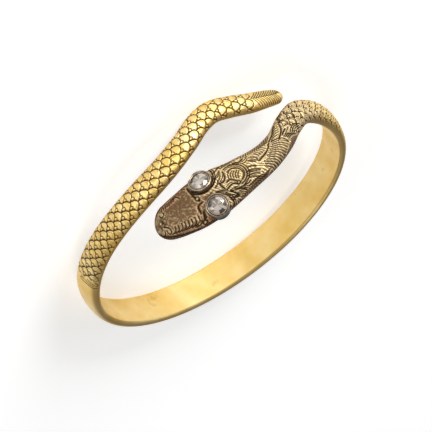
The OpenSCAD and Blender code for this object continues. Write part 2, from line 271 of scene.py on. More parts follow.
class Flow:
    """One value in a node tree. Arithmetic on it adds Math nodes."""

    def __init__(self, graph, socket):
        self.graph, self.socket = graph, socket

    __add__, __radd__ = arithmetic("ADD"), arithmetic("ADD", True)
    __sub__, __rsub__ = arithmetic("SUBTRACT"), arithmetic("SUBTRACT", True)
    __mul__, __rmul__ = arithmetic("MULTIPLY"), arithmetic("MULTIPLY", True)
    __truediv__, __rtruediv__ = arithmetic("DIVIDE"), arithmetic("DIVIDE", True)
    __lt__, __gt__ = arithmetic("LESS_THAN"), arithmetic("GREATER_THAN")
    __pow__ = arithmetic("POWER")

    def __neg__(self):
        return self * -1

    def __abs__(self):
        return self.graph.math("ABSOLUTE", self)


class Graph:
    """A node tree that expressions and single nodes are added to."""

    def __init__(self, tree):
        self.tree = tree

    def add(self, kind, settings=None, inputs=None, output=0):
        """Adds a node of a type with its settings first, then the values or links of its sockets."""
        node = self.tree.nodes.new(kind)
        for name, value in (settings or {}).items():
            setattr(node, name, value)
        for key, value in (inputs or {}).items():
            if isinstance(value, Flow):
                self.tree.links.new(value.socket, node.inputs[key])
            else:
                node.inputs[key].default_value = value
        return Flow(self, node.outputs[output]) if node.outputs else node

    def math(self, operation, *values):
        return self.add("ShaderNodeMath", {"operation": operation}, dict(enumerate(values)))

    def vector(self, operation, *values, output=0, scale=None):
        inputs = dict(enumerate(values))
        if scale is not None:
            inputs["Scale"] = scale
        return self.add("ShaderNodeVectorMath", {"operation": operation}, inputs, output)

    def xyz(self, x, y, z):
        return self.add("ShaderNodeCombineXYZ", {}, {0: x, 1: y, 2: z})

    def parts(self, vector):
        """The three numbers of a vector."""
        split = self.add("ShaderNodeSeparateXYZ", {}, {0: vector}).socket.node
        return [Flow(self, part) for part in split.outputs]

    low, high = formula("MINIMUM"), formula("MAXIMUM")
    sin, cos, root = formula("SINE"), formula("COSINE"), formula("SQRT")

    def hypot(self, a, b):
        return self.root(a * a + b * b)

    def clamp(self, a):
        return self.low(self.high(a, 0), 1)

    def bell(self, a):
        """1 where a is 0, and next to nothing where it is past 2 on either side."""
        return self.math("EXPONENT", -(a * a))

    def ease(self, a):
        """0 to 1 with soft ends, for a running from 0 to 1."""
        a = self.clamp(a)
        return a * a * (3 - 2 * a)

    def pick(self, flag, a, b):
        """a where the flag is 1, b where it is 0."""
        return b + (a - b) * flag

    def mix(self, factor, a, b):
        return self.add("ShaderNodeMix", {"data_type": "RGBA"}, {0: factor, 6: a, 7: b}, 2)

    def noise(self, place, scale, detail=2, output="Fac"):
        return self.add("ShaderNodeTexNoise", {}, {"Vector": place, "Scale": scale, "Detail": detail}, output)


class Shaping(Graph):
    """A Geometry Nodes tree with named inputs. It ends in Realize Instances and Set Material."""

    KINDS = {float: "NodeSocketFloat", int: "NodeSocketInt", Vector: "NodeSocketVector"}

    def __init__(self, name, **inputs):
        super().__init__(bpy.data.node_groups.new(name, "GeometryNodeTree"))
        sockets = self.tree.interface
        sockets.new_socket("Geometry", in_out="INPUT", socket_type="NodeSocketGeometry")
        sockets.new_socket("Geometry", in_out="OUTPUT", socket_type="NodeSocketGeometry")
        for key, default in inputs.items():
            kind = "NodeSocketObject" if default is None else self.KINDS[type(default)]
            socket = sockets.new_socket(key.replace("_", " "), in_out="INPUT", socket_type=kind)
            if default is not None:
                socket.default_value = default
        sockets.new_socket("Material", in_out="INPUT", socket_type="NodeSocketMaterial")
        self.entry = self.tree.nodes.new("NodeGroupInput")
        self.geometry = self.given("Geometry")

    def given(self, name):
        return Flow(self, self.entry.outputs[name.replace("_", " ")])

    def named(self, name, kind="FLOAT"):
        return self.add("GeometryNodeInputNamedAttribute", {"data_type": kind}, {"Name": name})

    def store(self, name, value, kind="FLOAT"):
        self.geometry = self.add(
            "GeometryNodeStoreNamedAttribute", {"data_type": kind, "domain": "POINT"},
            {"Geometry": self.geometry, "Name": name, "Value": value})

    def move(self, **by):
        """Moves the points to a Position or by an Offset."""
        self.geometry = self.add("GeometryNodeSetPosition", {}, {"Geometry": self.geometry, **by})

    def emboss(self, height):
        """Moves the points out of the body's smooth form by a height."""
        self.move(Offset=self.vector("SCALE", self.named("outward", "FLOAT_VECTOR"), scale=height))

    def darken(self, amount):
        self.store("groove", self.high(self.named("groove"), amount))

    def unrolled(self, columns, names):
        """Puts a grid in place of the seed mesh, with a row for each of its points. Returns how many rows
        there are, the number of each row and column, and the seed's values of the names, row by row."""
        seed = self.geometry
        rows = self.add("GeometryNodeAttributeDomainSize", {"component": "MESH"}, {0: seed})
        self.geometry = self.add("GeometryNodeMeshGrid", {}, {
            "Size X": 1.0, "Size Y": 1.0, "Vertices X": rows, "Vertices Y": columns + 1})
        x, y, _ = self.parts(self.add("GeometryNodeInputPosition"))
        row = self.math("ROUND", (x + 0.5) * (rows - 1))
        column = self.math("ROUND", (y + 0.5) * columns)
        values = {}
        for name in names:
            values[name] = self.add(
                "GeometryNodeSampleIndex", {"data_type": "FLOAT", "domain": "POINT", "clamp": True},
                {"Geometry": seed, "Value": self.named(name), "Index": row})
        return rows, row, column, values

    def merge(self):
        """Joins the first column to the last, and each end's ring to one point."""
        self.geometry = self.add(
            "GeometryNodeMergeByDistance", {}, {"Geometry": self.geometry, "Distance": MERGE_REACH})

    def smooth(self, mesh):
        return self.add("GeometryNodeSetShadeSmooth", {"domain": "FACE"}, {
            "Geometry": mesh, "Shade Smooth": True})

    def crease(self, angle):
        """Leaves the edges sharp that bend by more than an angle."""
        creased = self.add("GeometryNodeInputMeshEdgeAngle") > angle
        self.geometry = self.add("GeometryNodeSetShadeSmooth", {"domain": "EDGE"}, {
            "Geometry": self.geometry, "Selection": creased, "Shade Smooth": False})

    def finished(self):
        solid = self.add("GeometryNodeRealizeInstances", {}, {"Geometry": self.geometry})
        dressed = self.add(
            "GeometryNodeSetMaterial", {}, {"Geometry": solid, "Material": self.given("Material")})
        exit_node = self.tree.nodes.new("NodeGroupOutput")
        self.tree.links.new(dressed.socket, exit_node.inputs["Geometry"])
        return self.tree


def use_tree(piece, tree, **inputs):
    """Adds a tree to a piece as a modifier and sets its inputs by their identifiers."""
    modifier = piece.modifiers.new(tree.name, "NODES")
    modifier.node_group = tree
    wanted = {key.replace("_", " "): value for key, value in inputs.items()}
    for item in tree.interface.items_tree:
        if item.in_out == "INPUT" and item.name in wanted:
            modifier[item.identifier] = wanted.pop(item.name)
    if wanted:
        raise ValueError(f"{tree.name} has no inputs named {sorted(wanted)}")


# Trees of the body

# Values that each ring of the body has, and those of them that the trees of its relief still read
RING_VALUES = ("turn", "level", "climb", "pace", "half", "thick", "base", "fullness", "lift", "along",
               "girth", "patina", "row", "pitch", "progress", "scaled")
KEPT_VALUES = ("along", "row", "pitch", "progress", "scaled")
# Values that the sweep gives each point, which only the trees read
POINT_VALUES = ("outward", "share", "beside", "across")
MERGE_REACH = 1e-6
# Share of the patina that is polished off inside the ring
INNER_POLISH = 0.65
# Steps over each flank, between the widest line and the inner wall, and the angle that it rounds through
SIDE_STEPS = 6
FLANK = math.radians(55)
# Share of the half width from which the crown counts as flank
FLANK_FROM = 0.6
# Stands for the distance across where a point isn't on the crown, far from any stroke
OFF_CROWN = 1.0


def swept_body_tree():
    """Sweeps rings round the wrist: each point of the seed mesh holds the sizes of one ring."""
    g = Shaping("Swept body", Crown_steps=96, Inner_steps=12, Half_opening_x=0.03, Half_opening_y=0.027,
                Crease_angle=math.radians(18))
    steps, inner = g.given("Crown_steps"), g.given("Inner_steps")
    around = steps + inner + 2 * SIDE_STEPS
    rings, ring, step, v = g.unrolled(around, RING_VALUES)

    share = g.clamp(step / steps)
    angle = math.pi * share + math.radians(DOME_SPREAD) * g.sin(2 * math.pi * share)
    side = g.cos(angle)
    crown_x = v["half"] * g.math("SIGN", side) * abs(side) ** SIDE_FULLNESS
    crown_h = v["base"] + (v["thick"] - v["base"]) * g.high(g.sin(angle), 0) ** v["fullness"]
    inset = CORNER_SHARE * v["base"] / v["thick"]

    def flank(turned):
        """Reach across and height of the rounded side below the widest line."""
        reach = 1 - inset * (1 - g.cos(turned)) * (1 / (1 - math.cos(FLANK)))
        return v["half"] * reach, v["base"] * (1 - g.sin(turned) * (1 / math.sin(FLANK)))

    down = g.clamp((step - steps) * (1 / SIDE_STEPS))
    up = g.clamp((step - steps - SIDE_STEPS - inner) * (1 / SIDE_STEPS))
    over = g.clamp((step - steps - SIDE_STEPS) / inner) * 2 - 1
    far_x, far_h = flank(down * FLANK)
    near_x, near_h = flank((1 - up) * FLANK)
    corner_x = v["half"] * (1 - inset)
    on_crown = step < steps + 0.5
    on_far = step < steps + SIDE_STEPS + 0.5
    on_inner = step < steps + SIDE_STEPS + inner + 0.5

    def by_stretch(crown, far, inner_wall, near):
        """The value of the stretch of the section that a point is on."""
        return g.pick(on_crown, crown, g.pick(on_far, far, g.pick(on_inner, inner_wall, near)))

    x = by_stretch(crown_x, -far_x, corner_x * over, near_x)
    h = by_stretch(crown_h, far_h, 0 * near_h, near_h) + v["lift"]

    m = g.hypot(v["pace"], v["climb"])
    turn = (v["turn"] - v["climb"] * x / (m * v["pace"])) * (math.pi / 180)
    ax, by = g.given("Half_opening_x"), g.given("Half_opening_y")
    nx, ny = by * g.sin(turn), -(ax * g.cos(turn))
    n = g.hypot(nx, ny)
    for name in KEPT_VALUES:
        g.store(name, v[name])
    inside = on_inner * (1 - on_far)
    over_crown = g.ease((abs(x) / v["half"] - FLANK_FROM) / (1 - FLANK_FROM))
    g.store("patina", v["patina"] * (1 - INNER_POLISH * inside))
    g.store("plain", g.high(v["scaled"], 1 - on_crown))
    g.store("across", g.pick(on_crown, (0.5 - share) * v["girth"], OFF_CROWN))
    g.store("share", g.pick(on_crown, share, -1))
    g.store("beside", x)
    # flank: 1 out on the body's sides, 0 on the middle of the crown and on the inner wall; the metal is
    # painted darker there as shade
    g.store("flank", by_stretch(over_crown, 1 - down, 0 * up, up))
    g.store("groove", 0 * x)
    g.store("ridge", 0 * x)
    g.move(Position=g.xyz(
        ax * g.sin(turn) + h * nx / n, -(by * g.cos(turn)) + h * ny / n, v["level"] + v["pace"] * x / m))
    g.geometry = g.add("GeometryNodeFlipFaces", {}, {0: g.geometry})
    # The two rings at each end take the third one's directions, because their own faces are too small
    whole_ring = g.low(g.high(ring, 2), rings - 3)
    g.store("outward", g.add(
        "GeometryNodeSampleIndex", {"data_type": "FLOAT_VECTOR", "domain": "POINT"},
        {"Geometry": g.geometry, "Value": g.add("GeometryNodeInputNormal"),
         "Index": whole_ring * (around + 1) + step}), "FLOAT_VECTOR")
    g.merge()
    g.geometry = g.smooth(g.geometry)
    g.crease(g.given("Crease_angle"))
    return g.finished()


# Lengths on a scale: the round of its free edge, how far behind that an inner line lies, and how wide it is
SCALE_ROUND = 0.3 * MM
INNER_LINE_BACK = 0.5 * MM
INNER_LINE_WIDTH = 0.1 * MM
# The scales die away over this length at their last row, and over this share of the crown at its sides
SCALES_FADE = 0.5 * MM
SIDE_FADE = 1 / 30
# Unevenness of the lattice, as a noise scale, and its value up to which there is no inner line
WOBBLE_SCALE = 700.0
NO_INNER_LINE = 0.4
# Place and width of the burr beside a line, as multiples of the line's width: on the scales and the engraving
SCALE_BURR = (2.6, 1.2)
CUT_BURR = (2.4, 1.2)


def scales_tree():
    """Raises overlapping scales in a staggered lattice, each with a rounded free edge towards the tail and a
    small ring at its root. Some have a line chased inside their edge. The free edge is a diamond's where its
    power is 1 and a circle's where it is 2. The field starts with a whole row and may end on a slant."""
    g = Shaping("Scales", Middle=0.0, Column=0.0024, Margin=0.035, Rise=0.00009, Power_at_start=1.9,
                Power_at_end=1.6, Width_at_start=0.0001, Width_at_end=0.00013, Depth=0.0001, Ring=0.00036,
                Ring_back=0.18, Ring_line=0.00011, Wobble=0.1, Inner_line=0.5, First_row=0.0, Last=1.0,
                Slant=0.0)
    wobble = g.noise(g.add("GeometryNodeInputPosition"), WOBBLE_SCALE, 1.0, "Color")
    shift_u, shift_v, chance = g.parts(wobble)
    share, pitch, progress = g.named("share"), g.named("pitch"), g.named("progress")
    column = (g.named("across") - g.given("Middle")) / g.given("Column")
    u = g.named("row") + (shift_u - 0.5) * g.given("Wobble")
    v = column + (shift_v - 0.5) * g.given("Wobble")

    def off_whole(value):
        return value - g.math("ROUND", value)

    def off_half(value):
        return value - g.math("FLOOR", value) - 0.5

    ua, va = off_whole(u), off_half(v)
    ub, vb = off_half(u), off_whole(v)
    first = abs(ua) + abs(va) < 0.5
    a, b = -g.pick(first, ua, ub), g.pick(first, va, vb)

    power = g.pick(progress, g.given("Power_at_end"), g.given("Power_at_start"))
    width = g.pick(progress, g.given("Width_at_end"), g.given("Width_at_start"))

    def span(x, y):
        return (g.high(x, 0.0001) ** power + g.high(y, 0.0001) ** power) ** (1 / power)

    own = 0.5 - span(a, abs(b))
    other = span(a + 0.5, 0.5 - abs(b)) - 0.5
    in_front = a > 0
    under_other = (other < 0) * (1 - in_front)
    edge = g.pick(in_front, own, abs(other)) * pitch
    reach = g.pick(under_other, a + 0.5, a)

    def shown(to_middle):
        """1 where a scale belongs to the field, told by the row that its middle is in."""
        return u + to_middle > g.given("First_row")

    own_shown, plate_shown = shown(a), shown(reach)
    burr_place, burr_width = SCALE_BURR
    burr = g.bell((edge - burr_place * width) / (burr_width * width))
    line = g.bell(edge / width) * shown(g.pick(in_front, a, a + 0.5))
    has_inner = g.clamp((chance - NO_INNER_LINE) * 4)
    inner_line = g.bell((edge - INNER_LINE_BACK) / INNER_LINE_WIDTH) * has_inner * g.given("Inner_line")
    ring = g.given("Ring")
    from_ring = g.hypot(a + g.given("Ring_back"), b) * pitch
    rim = g.bell((from_ring - ring) / g.given("Ring_line")) * own_shown
    on_ring = (from_ring < ring) * own_shown
    knob = g.root(g.high(1 - (from_ring / ring) ** 2, 0)) * 0.5 * ring
    plate = g.ease(edge / SCALE_ROUND) * (0.9 + 0.35 * reach) * g.given("Rise") * plate_shown
    dark = g.pick(on_ring, rim, g.high(g.high(line, inner_line * plate_shown), rim))
    relief = g.pick(on_ring, knob, plate) - g.given("Depth") * dark

    near_side = g.clamp((share - g.given("Margin")) / SIDE_FADE)
    far_side = g.clamp((1 - g.given("Margin") - share) / SIDE_FADE)
    last = g.given("Last") + g.given("Slant") * g.named("across")
    before_last = g.clamp((last - g.named("along")) / SCALES_FADE)
    strength = g.named("scaled") * near_side * far_side * before_last
    g.emboss((relief - 0.5 * g.given("Rise") * plate_shown) * strength)
    g.darken(dark * strength)
    g.store("ridge", g.high(0.3, 0.8 * burr) * strength * plate_shown * (1 - dark))
    return g.finished()


def engraving_tree():
    """Cuts lines in the crown. The strokes are edges drawn flat, with the length along the body as x and the
    length across it as y."""
    g = Shaping("Engraving", Strokes=None, Width=0.0001, Depth=0.0001, Darkness=1.0, Swell=0.0)
    drawn = g.add("GeometryNodeObjectInfo", {}, {"Object": g.given("Strokes")}, "Geometry")
    flat = g.xyz(g.named("along"), g.named("across"), 0)
    gap = g.add("GeometryNodeProximity", {"target_element": "EDGES"}, {
        "Geometry": drawn, "Sample Position": flat}, "Distance")
    burr_place, burr_width = CUT_BURR
    cut = g.bell(gap / g.given("Width"))
    ridge = g.bell((gap - burr_place * g.given("Width")) / (burr_width * g.given("Width")))
    g.emboss(ridge * g.given("Swell") - cut * g.given("Depth"))
    g.darken(cut * g.given("Darkness"))
    g.store("ridge", g.high(g.named("ridge"), ridge))
    return g.finished()


# Soft forms of the head. Columns: length back from the snout, distance across, reach along, reach across, and
# rise, all in millimetres
HEAD_FORMS = [
    (5.4, 0, 2.2, 1.5, 0.18),
    (8.4, 0, 2.0, 2.1, 0.15),
    (12.6, 3.3, 2.2, 1.8, 0.25),
    (12.6, -3.3, 2.2, 1.8, 0.25),
    (13.6, 0, 2.4, 0.8, -0.2),
    (19.1, 1.6, 2.6, 1.2, 0.15),
    (19.1, -1.6, 2.6, 1.2, 0.15),
]
# The forms grow to their full height over this length from the snout's tip, and end this far back from it
SNOUT_FADE = 1.2 * MM
FORMS_END = 26 * MM
# The nose: length back from the snout, radius and width of its ring, radius of its pit, and the radius and
# the width of a ring of painted shade round it
NOSE_BACK = 2.4 * MM
NOSE_RING, NOSE_RING_WIDTH = 0.55 * MM, 0.17 * MM
NOSE_PIT = 0.22 * MM
NOSE_SHADE_RADIUS, NOSE_SHADE_WIDTH = 0.85 * MM, 0.15 * MM
# The eyes: length back from the snout, distance to each side, height of a stone's middle, its tilt to the
# side in degrees, and the depth of the well under it
EYE_BACK = 12.6 * MM
EYE_APART = 3.3 * MM
EYE_HEIGHT = 3.15 * MM
EYE_TILT = 13
WELL_DEPTH = 1.5 * MM


def head_forms_tree():
    """Soft swellings and hollows of the head, a round boss on its nose with painted shade round it, and wells
    for the two stones.
    """
    g = Shaping("Head forms", Length=0.22, Nose_rise=0.0002, Well_depth=WELL_DEPTH, Well_radius=0.0021,
                Well_lip=0.0003, Near_eye=Vector(), Near_axis=Vector(), Far_eye=Vector(), Far_axis=Vector())
    back, x = g.given("Length") - g.named("along"), g.named("beside")
    rise = 0
    for b, across, reach, width, height in HEAD_FORMS:
        off = g.hypot((back - b * MM) / (reach * MM), (x - across * MM) / (width * MM))
        rise = rise + g.bell(off) * (height * MM)
    from_nose = g.hypot(back - NOSE_BACK, x)
    ring = g.bell((from_nose - NOSE_RING) / NOSE_RING_WIDTH)
    pit = g.bell(from_nose / NOSE_PIT)
    rise = rise + (ring - pit * 1.4) * g.given("Nose_rise")
    on_crown = g.named("share") > 0
    g.emboss(rise * on_crown * g.clamp(back / SNOUT_FADE) * (back < FORMS_END))
    # Darkens the pit, and paints a ring of shade round the nose in the colour alone
    g.darken(g.high(pit, 0.6 * g.bell((from_nose - NOSE_SHADE_RADIUS) / NOSE_SHADE_WIDTH)) * on_crown)
    for side in ("Near", "Far"):
        axis = g.given(side + "_axis")
        reach = g.vector("SUBTRACT", g.add("GeometryNodeInputPosition"), g.given(side + "_eye"))
        up = g.vector("DOT_PRODUCT", reach, axis, output="Value")
        flat = g.vector("SUBTRACT", reach, g.vector("SCALE", axis, scale=up))
        out = g.vector("LENGTH", flat, output="Value")
        wall = g.clamp((g.given("Well_radius") + g.given("Well_lip") - out) / g.given("Well_lip"))
        drop = g.low(-g.given("Well_depth") - up, 0) * wall * on_crown
        g.move(Offset=g.vector("SCALE", axis, scale=drop))
    return g.finished()


# Height of a bead as a share of its radius
BEAD_FLATNESS = 0.7


def beads_tree():
    """Sets a small round bead on each point, half sunk and turned to face outwards."""
    g = Shaping("Beads", Segments=10, Rings=6)
    ball = g.add("GeometryNodeMeshUVSphere", {}, {
        "Segments": g.given("Segments"), "Rings": g.given("Rings"), "Radius": 1.0})
    facing = g.add("FunctionNodeAlignRotationToVector", {"axis": "Z"}, {
        "Vector": g.named("outward", "FLOAT_VECTOR")})
    size = g.named("size")
    g.geometry = g.add("GeometryNodeInstanceOnPoints", {}, {
        "Points": g.geometry, "Instance": g.smooth(ball), "Rotation": facing,
        "Scale": g.xyz(size, size, size * BEAD_FLATNESS)})
    return g.finished()


def turned_tree():
    """Turns an outline round an axis: each point of the seed mesh holds one radius and height."""
    g = Shaping("Turned outline", Around=96, Middle=Vector(), Axis=Vector((0, 0, 1)),
                Crease_angle=math.radians(40))
    _, _, column, v = g.unrolled(g.given("Around"), ("radius", "height", "groove"))
    turn = column / g.given("Around") * (2 * math.pi)
    axis = g.given("Axis")
    across = g.vector("NORMALIZE", g.vector("CROSS_PRODUCT", axis, g.xyz(0, 1, 0)))
    beside = g.vector("CROSS_PRODUCT", axis, across)
    place = g.vector("ADD", g.given("Middle"), g.vector("SCALE", axis, scale=v["height"]))
    place = g.vector("ADD", place, g.vector("SCALE", across, scale=v["radius"] * g.cos(turn)))
    place = g.vector("ADD", place, g.vector("SCALE", beside, scale=v["radius"] * g.sin(turn)))
    g.store("groove", v["groove"])
    g.move(Position=place)
    g.merge()
    g.crease(g.given("Crease_angle"))
    return g.finished()


# Strokes of the engraving. All lengths are in millimetres: b is measured back from the snout and q across the
# crown, above 0 on the near side.

# Arcs. Columns: middle b, middle q, radius, first angle, last angle, where 0 degrees point to the tail and
# 90 to the near side
BOLD_ARCS = [
    (18.4, -0.25, 2.4, 88, -113),
    (18.5, -0.1, 1.6, 70, -118),
    (18.15, 1.6, 0.3, 0, 360),
    (12.6, 3.75, 2.85, -80, 80),
    (12.6, -3.75, 2.85, 150, -80),
    # The next two arcs are painted shadow: dark cut lines beside the far collet
    (12.6, -3.75, 2.55, 150, 25),
    (12.6, -3.75, 3.15, 145, 35),
    (38.2, -0.8, 0.95, 70, -80),
    (35.4, -1.1, 0.98, 80, -100),
    (36.7, 0.45, 1.1, 60, -60),
    (39.9, 0.6, 1.1, 80, -70),
]
FINE_ARCS = [
    (18.4, -0.25, 1.98, 95, -118),
    (18.4, -0.25, 2.85, 120, -60),
    (12.6, 3.75, 3.25, -70, 60),
    (12.6, -3.75, 3.25, 70, -60),
    (38.2, -0.8, 0.62, 70, -90),
    (35.4, -1.1, 0.62, 80, -100),
    (36.1, 0.4, 0.32, 0, 360),
    (10.3, -0.35, 0.38, 0, 360),
    (2.75, -1.5, 0.45, -40, 200),
    (9.4, 4.3, 0.4, 0, 360),
]

# Curves through their points
BOLD_CURVES = [
    ((31.7, 1.8), (31.5, 0.5), (30.6, -0.5), (29, -1.15)),
    ((34.9, -1.9), (33.6, -1.0), (32.1, -0.5), (30.8, -0.1)),
    ((34.6, -2.95), (32.8, -2.55), (30.8, -1.9), (29, -1.5)),
    ((34.1, -0.2), (33.1, -0.25), (32.3, -0.1)),
    ((29.9, -1), (28.5, -1.2), (27.7, -0.65), (26.7, -0.25), (25.6, 0), (23.9, 0.25)),
    ((23.9, 0.05), (24, -0.7), (23.4, -1.5)),
    ((23.3, -0.1), (22.9, -0.6), (22.5, -1.05)),
    ((22.7, 0.8), (22.2, 0.3), (21.4, 0.05)),
    ((22.8, 1.9), (21.8, 1.05), (20.8, 0.7)),
    ((22.3, 2.4), (21.3, 1.8), (20, 1.6)),
    ((20, 2.6), (19.4, 2.75), (18.8, 2.6)),
    ((17.9, 1.9), (17.6, 1.4), (16.9, 1.1), (15.6, 1.5)),
    ((18.05, 1.05), (17.7, 0.5), (17.2, 0.05), (16.5, 0.1)),
    ((17.05, -2.15), (16.9, -1.4), (16.6, -0.7), (16.05, -0.3), (15.2, -0.4)),
    ((15.2, -0.5), (15.3, 0.3), (15.5, 1.05)),
    ((15.7, 1.6), (14.9, 1.05), (13.8, 0.5)),
    ((18.5, 3.5), (18.25, 3.1), (17.95, 2.7)),
    ((16.8, 3.7), (16.6, 2.9), (16.1, 2.2)),
    ((16.6, 3.6), (15.8, 3.3), (15.2, 3.05)),
    ((16.95, -3.7), (16.3, -3.3), (15.3, -2.95)),
    ((22, -2.3), (21, -2.15), (20.5, -2.3), (19.7, -2.5)),
    ((9.55, 2.4), (9.65, 1.2), (10.15, 0.8), (10.7, 0.7)),
    ((10.5, 0.2), (10, -1), (9.9, -1.7), (9.65, -3.4)),
    ((8.1, 5.1), (6.5, 4.6), (5.3, 4.2), (3.8, 3.6), (2.55, 3), (1.35, 2.15), (0.65, 1.3)),
    ((8.1, -5.1), (6.5, -4.6), (5.3, -4.2), (3.8, -3.6), (2.55, -3), (1.35, -2.15), (0.65, -1.3)),
]
FINE_CURVES = [
    ((34.9, 0.1), (33.6, 0.25), (32.6, 0.3)),
    ((17, 3.5), (16.4, 2.6), (15.6, 1.8)),
    ((18.4, 3.4), (17.8, 2.7), (16.3, 2.25)),
    ((16.6, 3.8), (16.3, 3.2), (15.4, 2.7)),
    ((21.6, 2.4), (20.8, 2.05), (19.6, 2.1), (18.6, 2.7)),
    ((21.6, 1.3), (21, 0.95), (20.4, 0.75)),
    ((21.6, -2.0), (20.6, -1.8), (19.8, -2.2), (18.6, -3.1), (17.2, -3.0)),
    ((22.9, -2.2), (22.1, -1.8), (21.3, -1.7)),
    ((15.3, -1.1), (14.9, -0.5), (14.2, -0.2)),
    ((23.7, -0.1), (23.4, -0.6), (22.9, -1.2)),
    ((22.9, -0.3), (22.5, -0.7), (22.2, -1.2)),
    ((23.4, -1.4), (22.8, -1.65), (21.8, -1.2), (21, -1.35)),
    ((22.2, 1.7), (21.6, 1.4), (21, 1.05)),
    ((22.5, 2.1), (21.5, 1.45), (20.5, 1.2)),
    ((21.8, 2.8), (20.8, 2.3), (19.9, 2.1)),
    ((17.8, 2.2), (17.1, 2.05), (16.1, 1.95)),
    ((17.9, 2.8), (17.2, 2.6), (16.1, 2.05)),
    ((16.3, 3.05), (15.5, 2.6), (15.05, 1.95)),
    ((15.9, 4.05), (15.5, 3.75), (15.2, 3.4)),
    ((17.2, 0.75), (16.6, 0.7), (15.9, 0.9)),
    ((16.7, -1.6), (16.3, -1.05), (15.6, -0.6)),
    ((16.3, -1.9), (15.9, -1.35), (15.3, -0.9)),
    ((15.4, 1.85), (14.6, 1.3), (13.9, 0.85)),
    ((16.6, -2.5), (15.8, -1.85), (15, -1.6)),
    ((16.6, -2.8), (15.8, -2.2), (15, -1.95)),
    ((7.3, -2.6), (6.7, -3.3), (5.8, -3.5)),
    ((9.1, 3.6), (8.6, 4.2), (7.6, 4.1)),
    ((9.1, -3.6), (8.6, -4.2), (7.6, -4.1)),
    ((2.4, 0.9), (3.3, 1.6), (3.35, 2.5), (2.85, 2.6), (2.6, 1.8)),
    ((2.2, 1.6), (2.0, 2.2), (1.6, 2.4)),
    ((6.1, 5), (4.9, 4.55), (3.6, 4.05), (2.3, 3.4), (1.2, 2.6)),
]

# Hatches. Columns: b and q at both ends of the first stroke, then of the last stroke, count of the strokes,
# and their bow as a share of their length
HATCHES = [
    (31.6, 1.9, 28.95, -0.8, 25.4, 4.6, 24.0, 1.9, 12, 0.13),
    (34.9, -2.2, 33.2, -2.6, 31.9, -0.9, 29.7, -1.3, 5, 0.1),
    (19.7, -0.4, 18.7, 0.85, 18.1, -1.4, 17.2, -0.2, 5, 0.15),
    (21.0, -2.9, 19.6, -3.7, 17.2, -3.1, 16.4, -3.9, 8, 0.1),
    (24.6, 3.0, 23.2, 4.2, 18.6, 3.8, 17.6, 4.9, 12, 0.1),
    (27.0, -0.7, 26.6, -1.9, 24.6, -0.5, 24.4, -1.8, 5, 0.15),
    (28.3, -1.7, 31.6, -3.7, 21.8, -2.6, 22.6, -4.2, 13, 0.08),
    (37.6, 2.6, 34.8, 2.4, 37.2, 1.3, 34.0, 1.0, 4, 0.12),
    (34.6, 2.3, 32.2, 1.5, 33.6, 1.0, 31.9, 0.3, 4, 0.12),
    (37.4, -3.0, 35.6, -2.2, 39.6, -3.2, 37.8, -2.4, 4, 0.1),
    (23.4, 3.6, 21.4, 2.9, 20.6, 3.9, 19.0, 3.2, 6, 0.12),
    (19.3, 3.4, 18.3, 2.7, 17.4, 4.6, 15.4, 3.6, 7, 0.12),
    (6.6, -3.4, 5.9, -2.7, 3.4, -3.0, 2.9, -2.2, 7, 0.1),
    (8.9, 2.5, 7.7, 3.9, 4.4, 1.9, 3.4, 2.9, 8, -0.3),
    (10.3, 2.2, 9.8, 2.9, 10.0, 3.6, 9.4, 4.0, 6, 0.1),
    (15.2, 4.6, 14.6, 5.6, 9.4, 5.0, 8.6, 5.8, 11, 0.1),
    (15.2, -4.6, 14.6, -5.6, 9.4, -5.0, 8.6, -5.8, 11, 0.1),
]

# The beaded line and single beads. Columns: b, q, radius
BEAD_LINE = ((28.8, -1), (27.9, -0.2), (26.4, 0.35), (25.3, 0.8), (24.6, 1.2))
BEAD_PITCH = 0.74
BEAD_RADIUS = 0.27
BEADS = [(23.05, 2.5, 0.38), (25.3, 0.85, 0.3), (18.15, 1.6, 0.2), (10.3, -0.35, 0.26), (9.4, 4.3, 0.26),
         (8.5, 3.9, 0.2), (36.1, 0.4, 0.22)]

# The feather at the tip of the tail: lines slant from a rib towards the tip. Columns: side of the rib (1 is
# the near side), count, first and last length along the rib, slant in degrees at both, and reach
TAIL_RIB = ((1.2, -0.2), (4, 0.25), (8.6, 0.1))
FEATHERS = [
    (-1, 12, 2.5, 9.4, 40, 46, 3.6),
    (1, 11, 3.0, 9.0, 60, 66, 2.4),
]
# Where a feather's line is bowed to, as shares of its length back and of its reach out
FEATHER_BOW = (0.62, 0.5)
# Leaves that close the scales of the tail
TAIL_END_CURVES = [
    ((63.6, -1.2), (63.4, 0.3), (63.25, 1.6), (63.3, 2.7), (63.0, 3.8)),
    ((62.0, 1.1), (62.2, 1.9), (62.3, 2.8)),
    ((62.6, 0.8), (62.7, 1.8), (62.8, 2.7)),
    ((61.6, 3.0), (61.8, 3.5), (62.3, 3.7), (62.5, 3.3)),
    ((63.2, -0.9), (62.7, -0.2), (62.7, 0.5)),
]


# Fields of scales. Each has its first and last length in millimetres, the length of one scale at some
# lengths, and the length at which a scale of the middle row stands
FIELDS = {
    "tail": {"reach": (9.6, 64.5), "pitches": ((8, 2.9), (34, 2.9), (41, 2.7), (46, 2.48), (62, 2.48)),
             "middle_at": 46.0},
    "neck": {"reach": (165.6, 189.4), "pitches": ((165, 2.3), (178, 2.3), (184, 2.6), (190, 2.8)),
             "middle_at": 185.5},
}
# In millimetres: how far rows are counted past the known pitches, how far before a field's first length its
# strength sets in, and over what length it grows and ends
PITCH_MARGIN = 5
FIELD_LEAD = 3
FIELD_FADE = 0.5
ROW_READINGS = 2001

# The tail's scales end on a slant: the length there at the middle of the crown, and its change over the crown
TAIL_SCALES_END = 62.4 * MM
TAIL_SCALES_SLANT = -0.35


def row_at(s, field):
    """Number of the row of scales at a length in millimetres. Rows stand half a number apart."""
    at, pitches = np.array(field["pitches"]).T
    fine = np.linspace(at[0] - PITCH_MARGIN, at[-1] + PITCH_MARGIN, ROW_READINGS)
    rows = np.cumsum(np.gradient(fine) / np.interp(fine, at, pitches))
    return np.interp(s, fine, rows) - np.interp(field["middle_at"], fine, rows) + 0.5


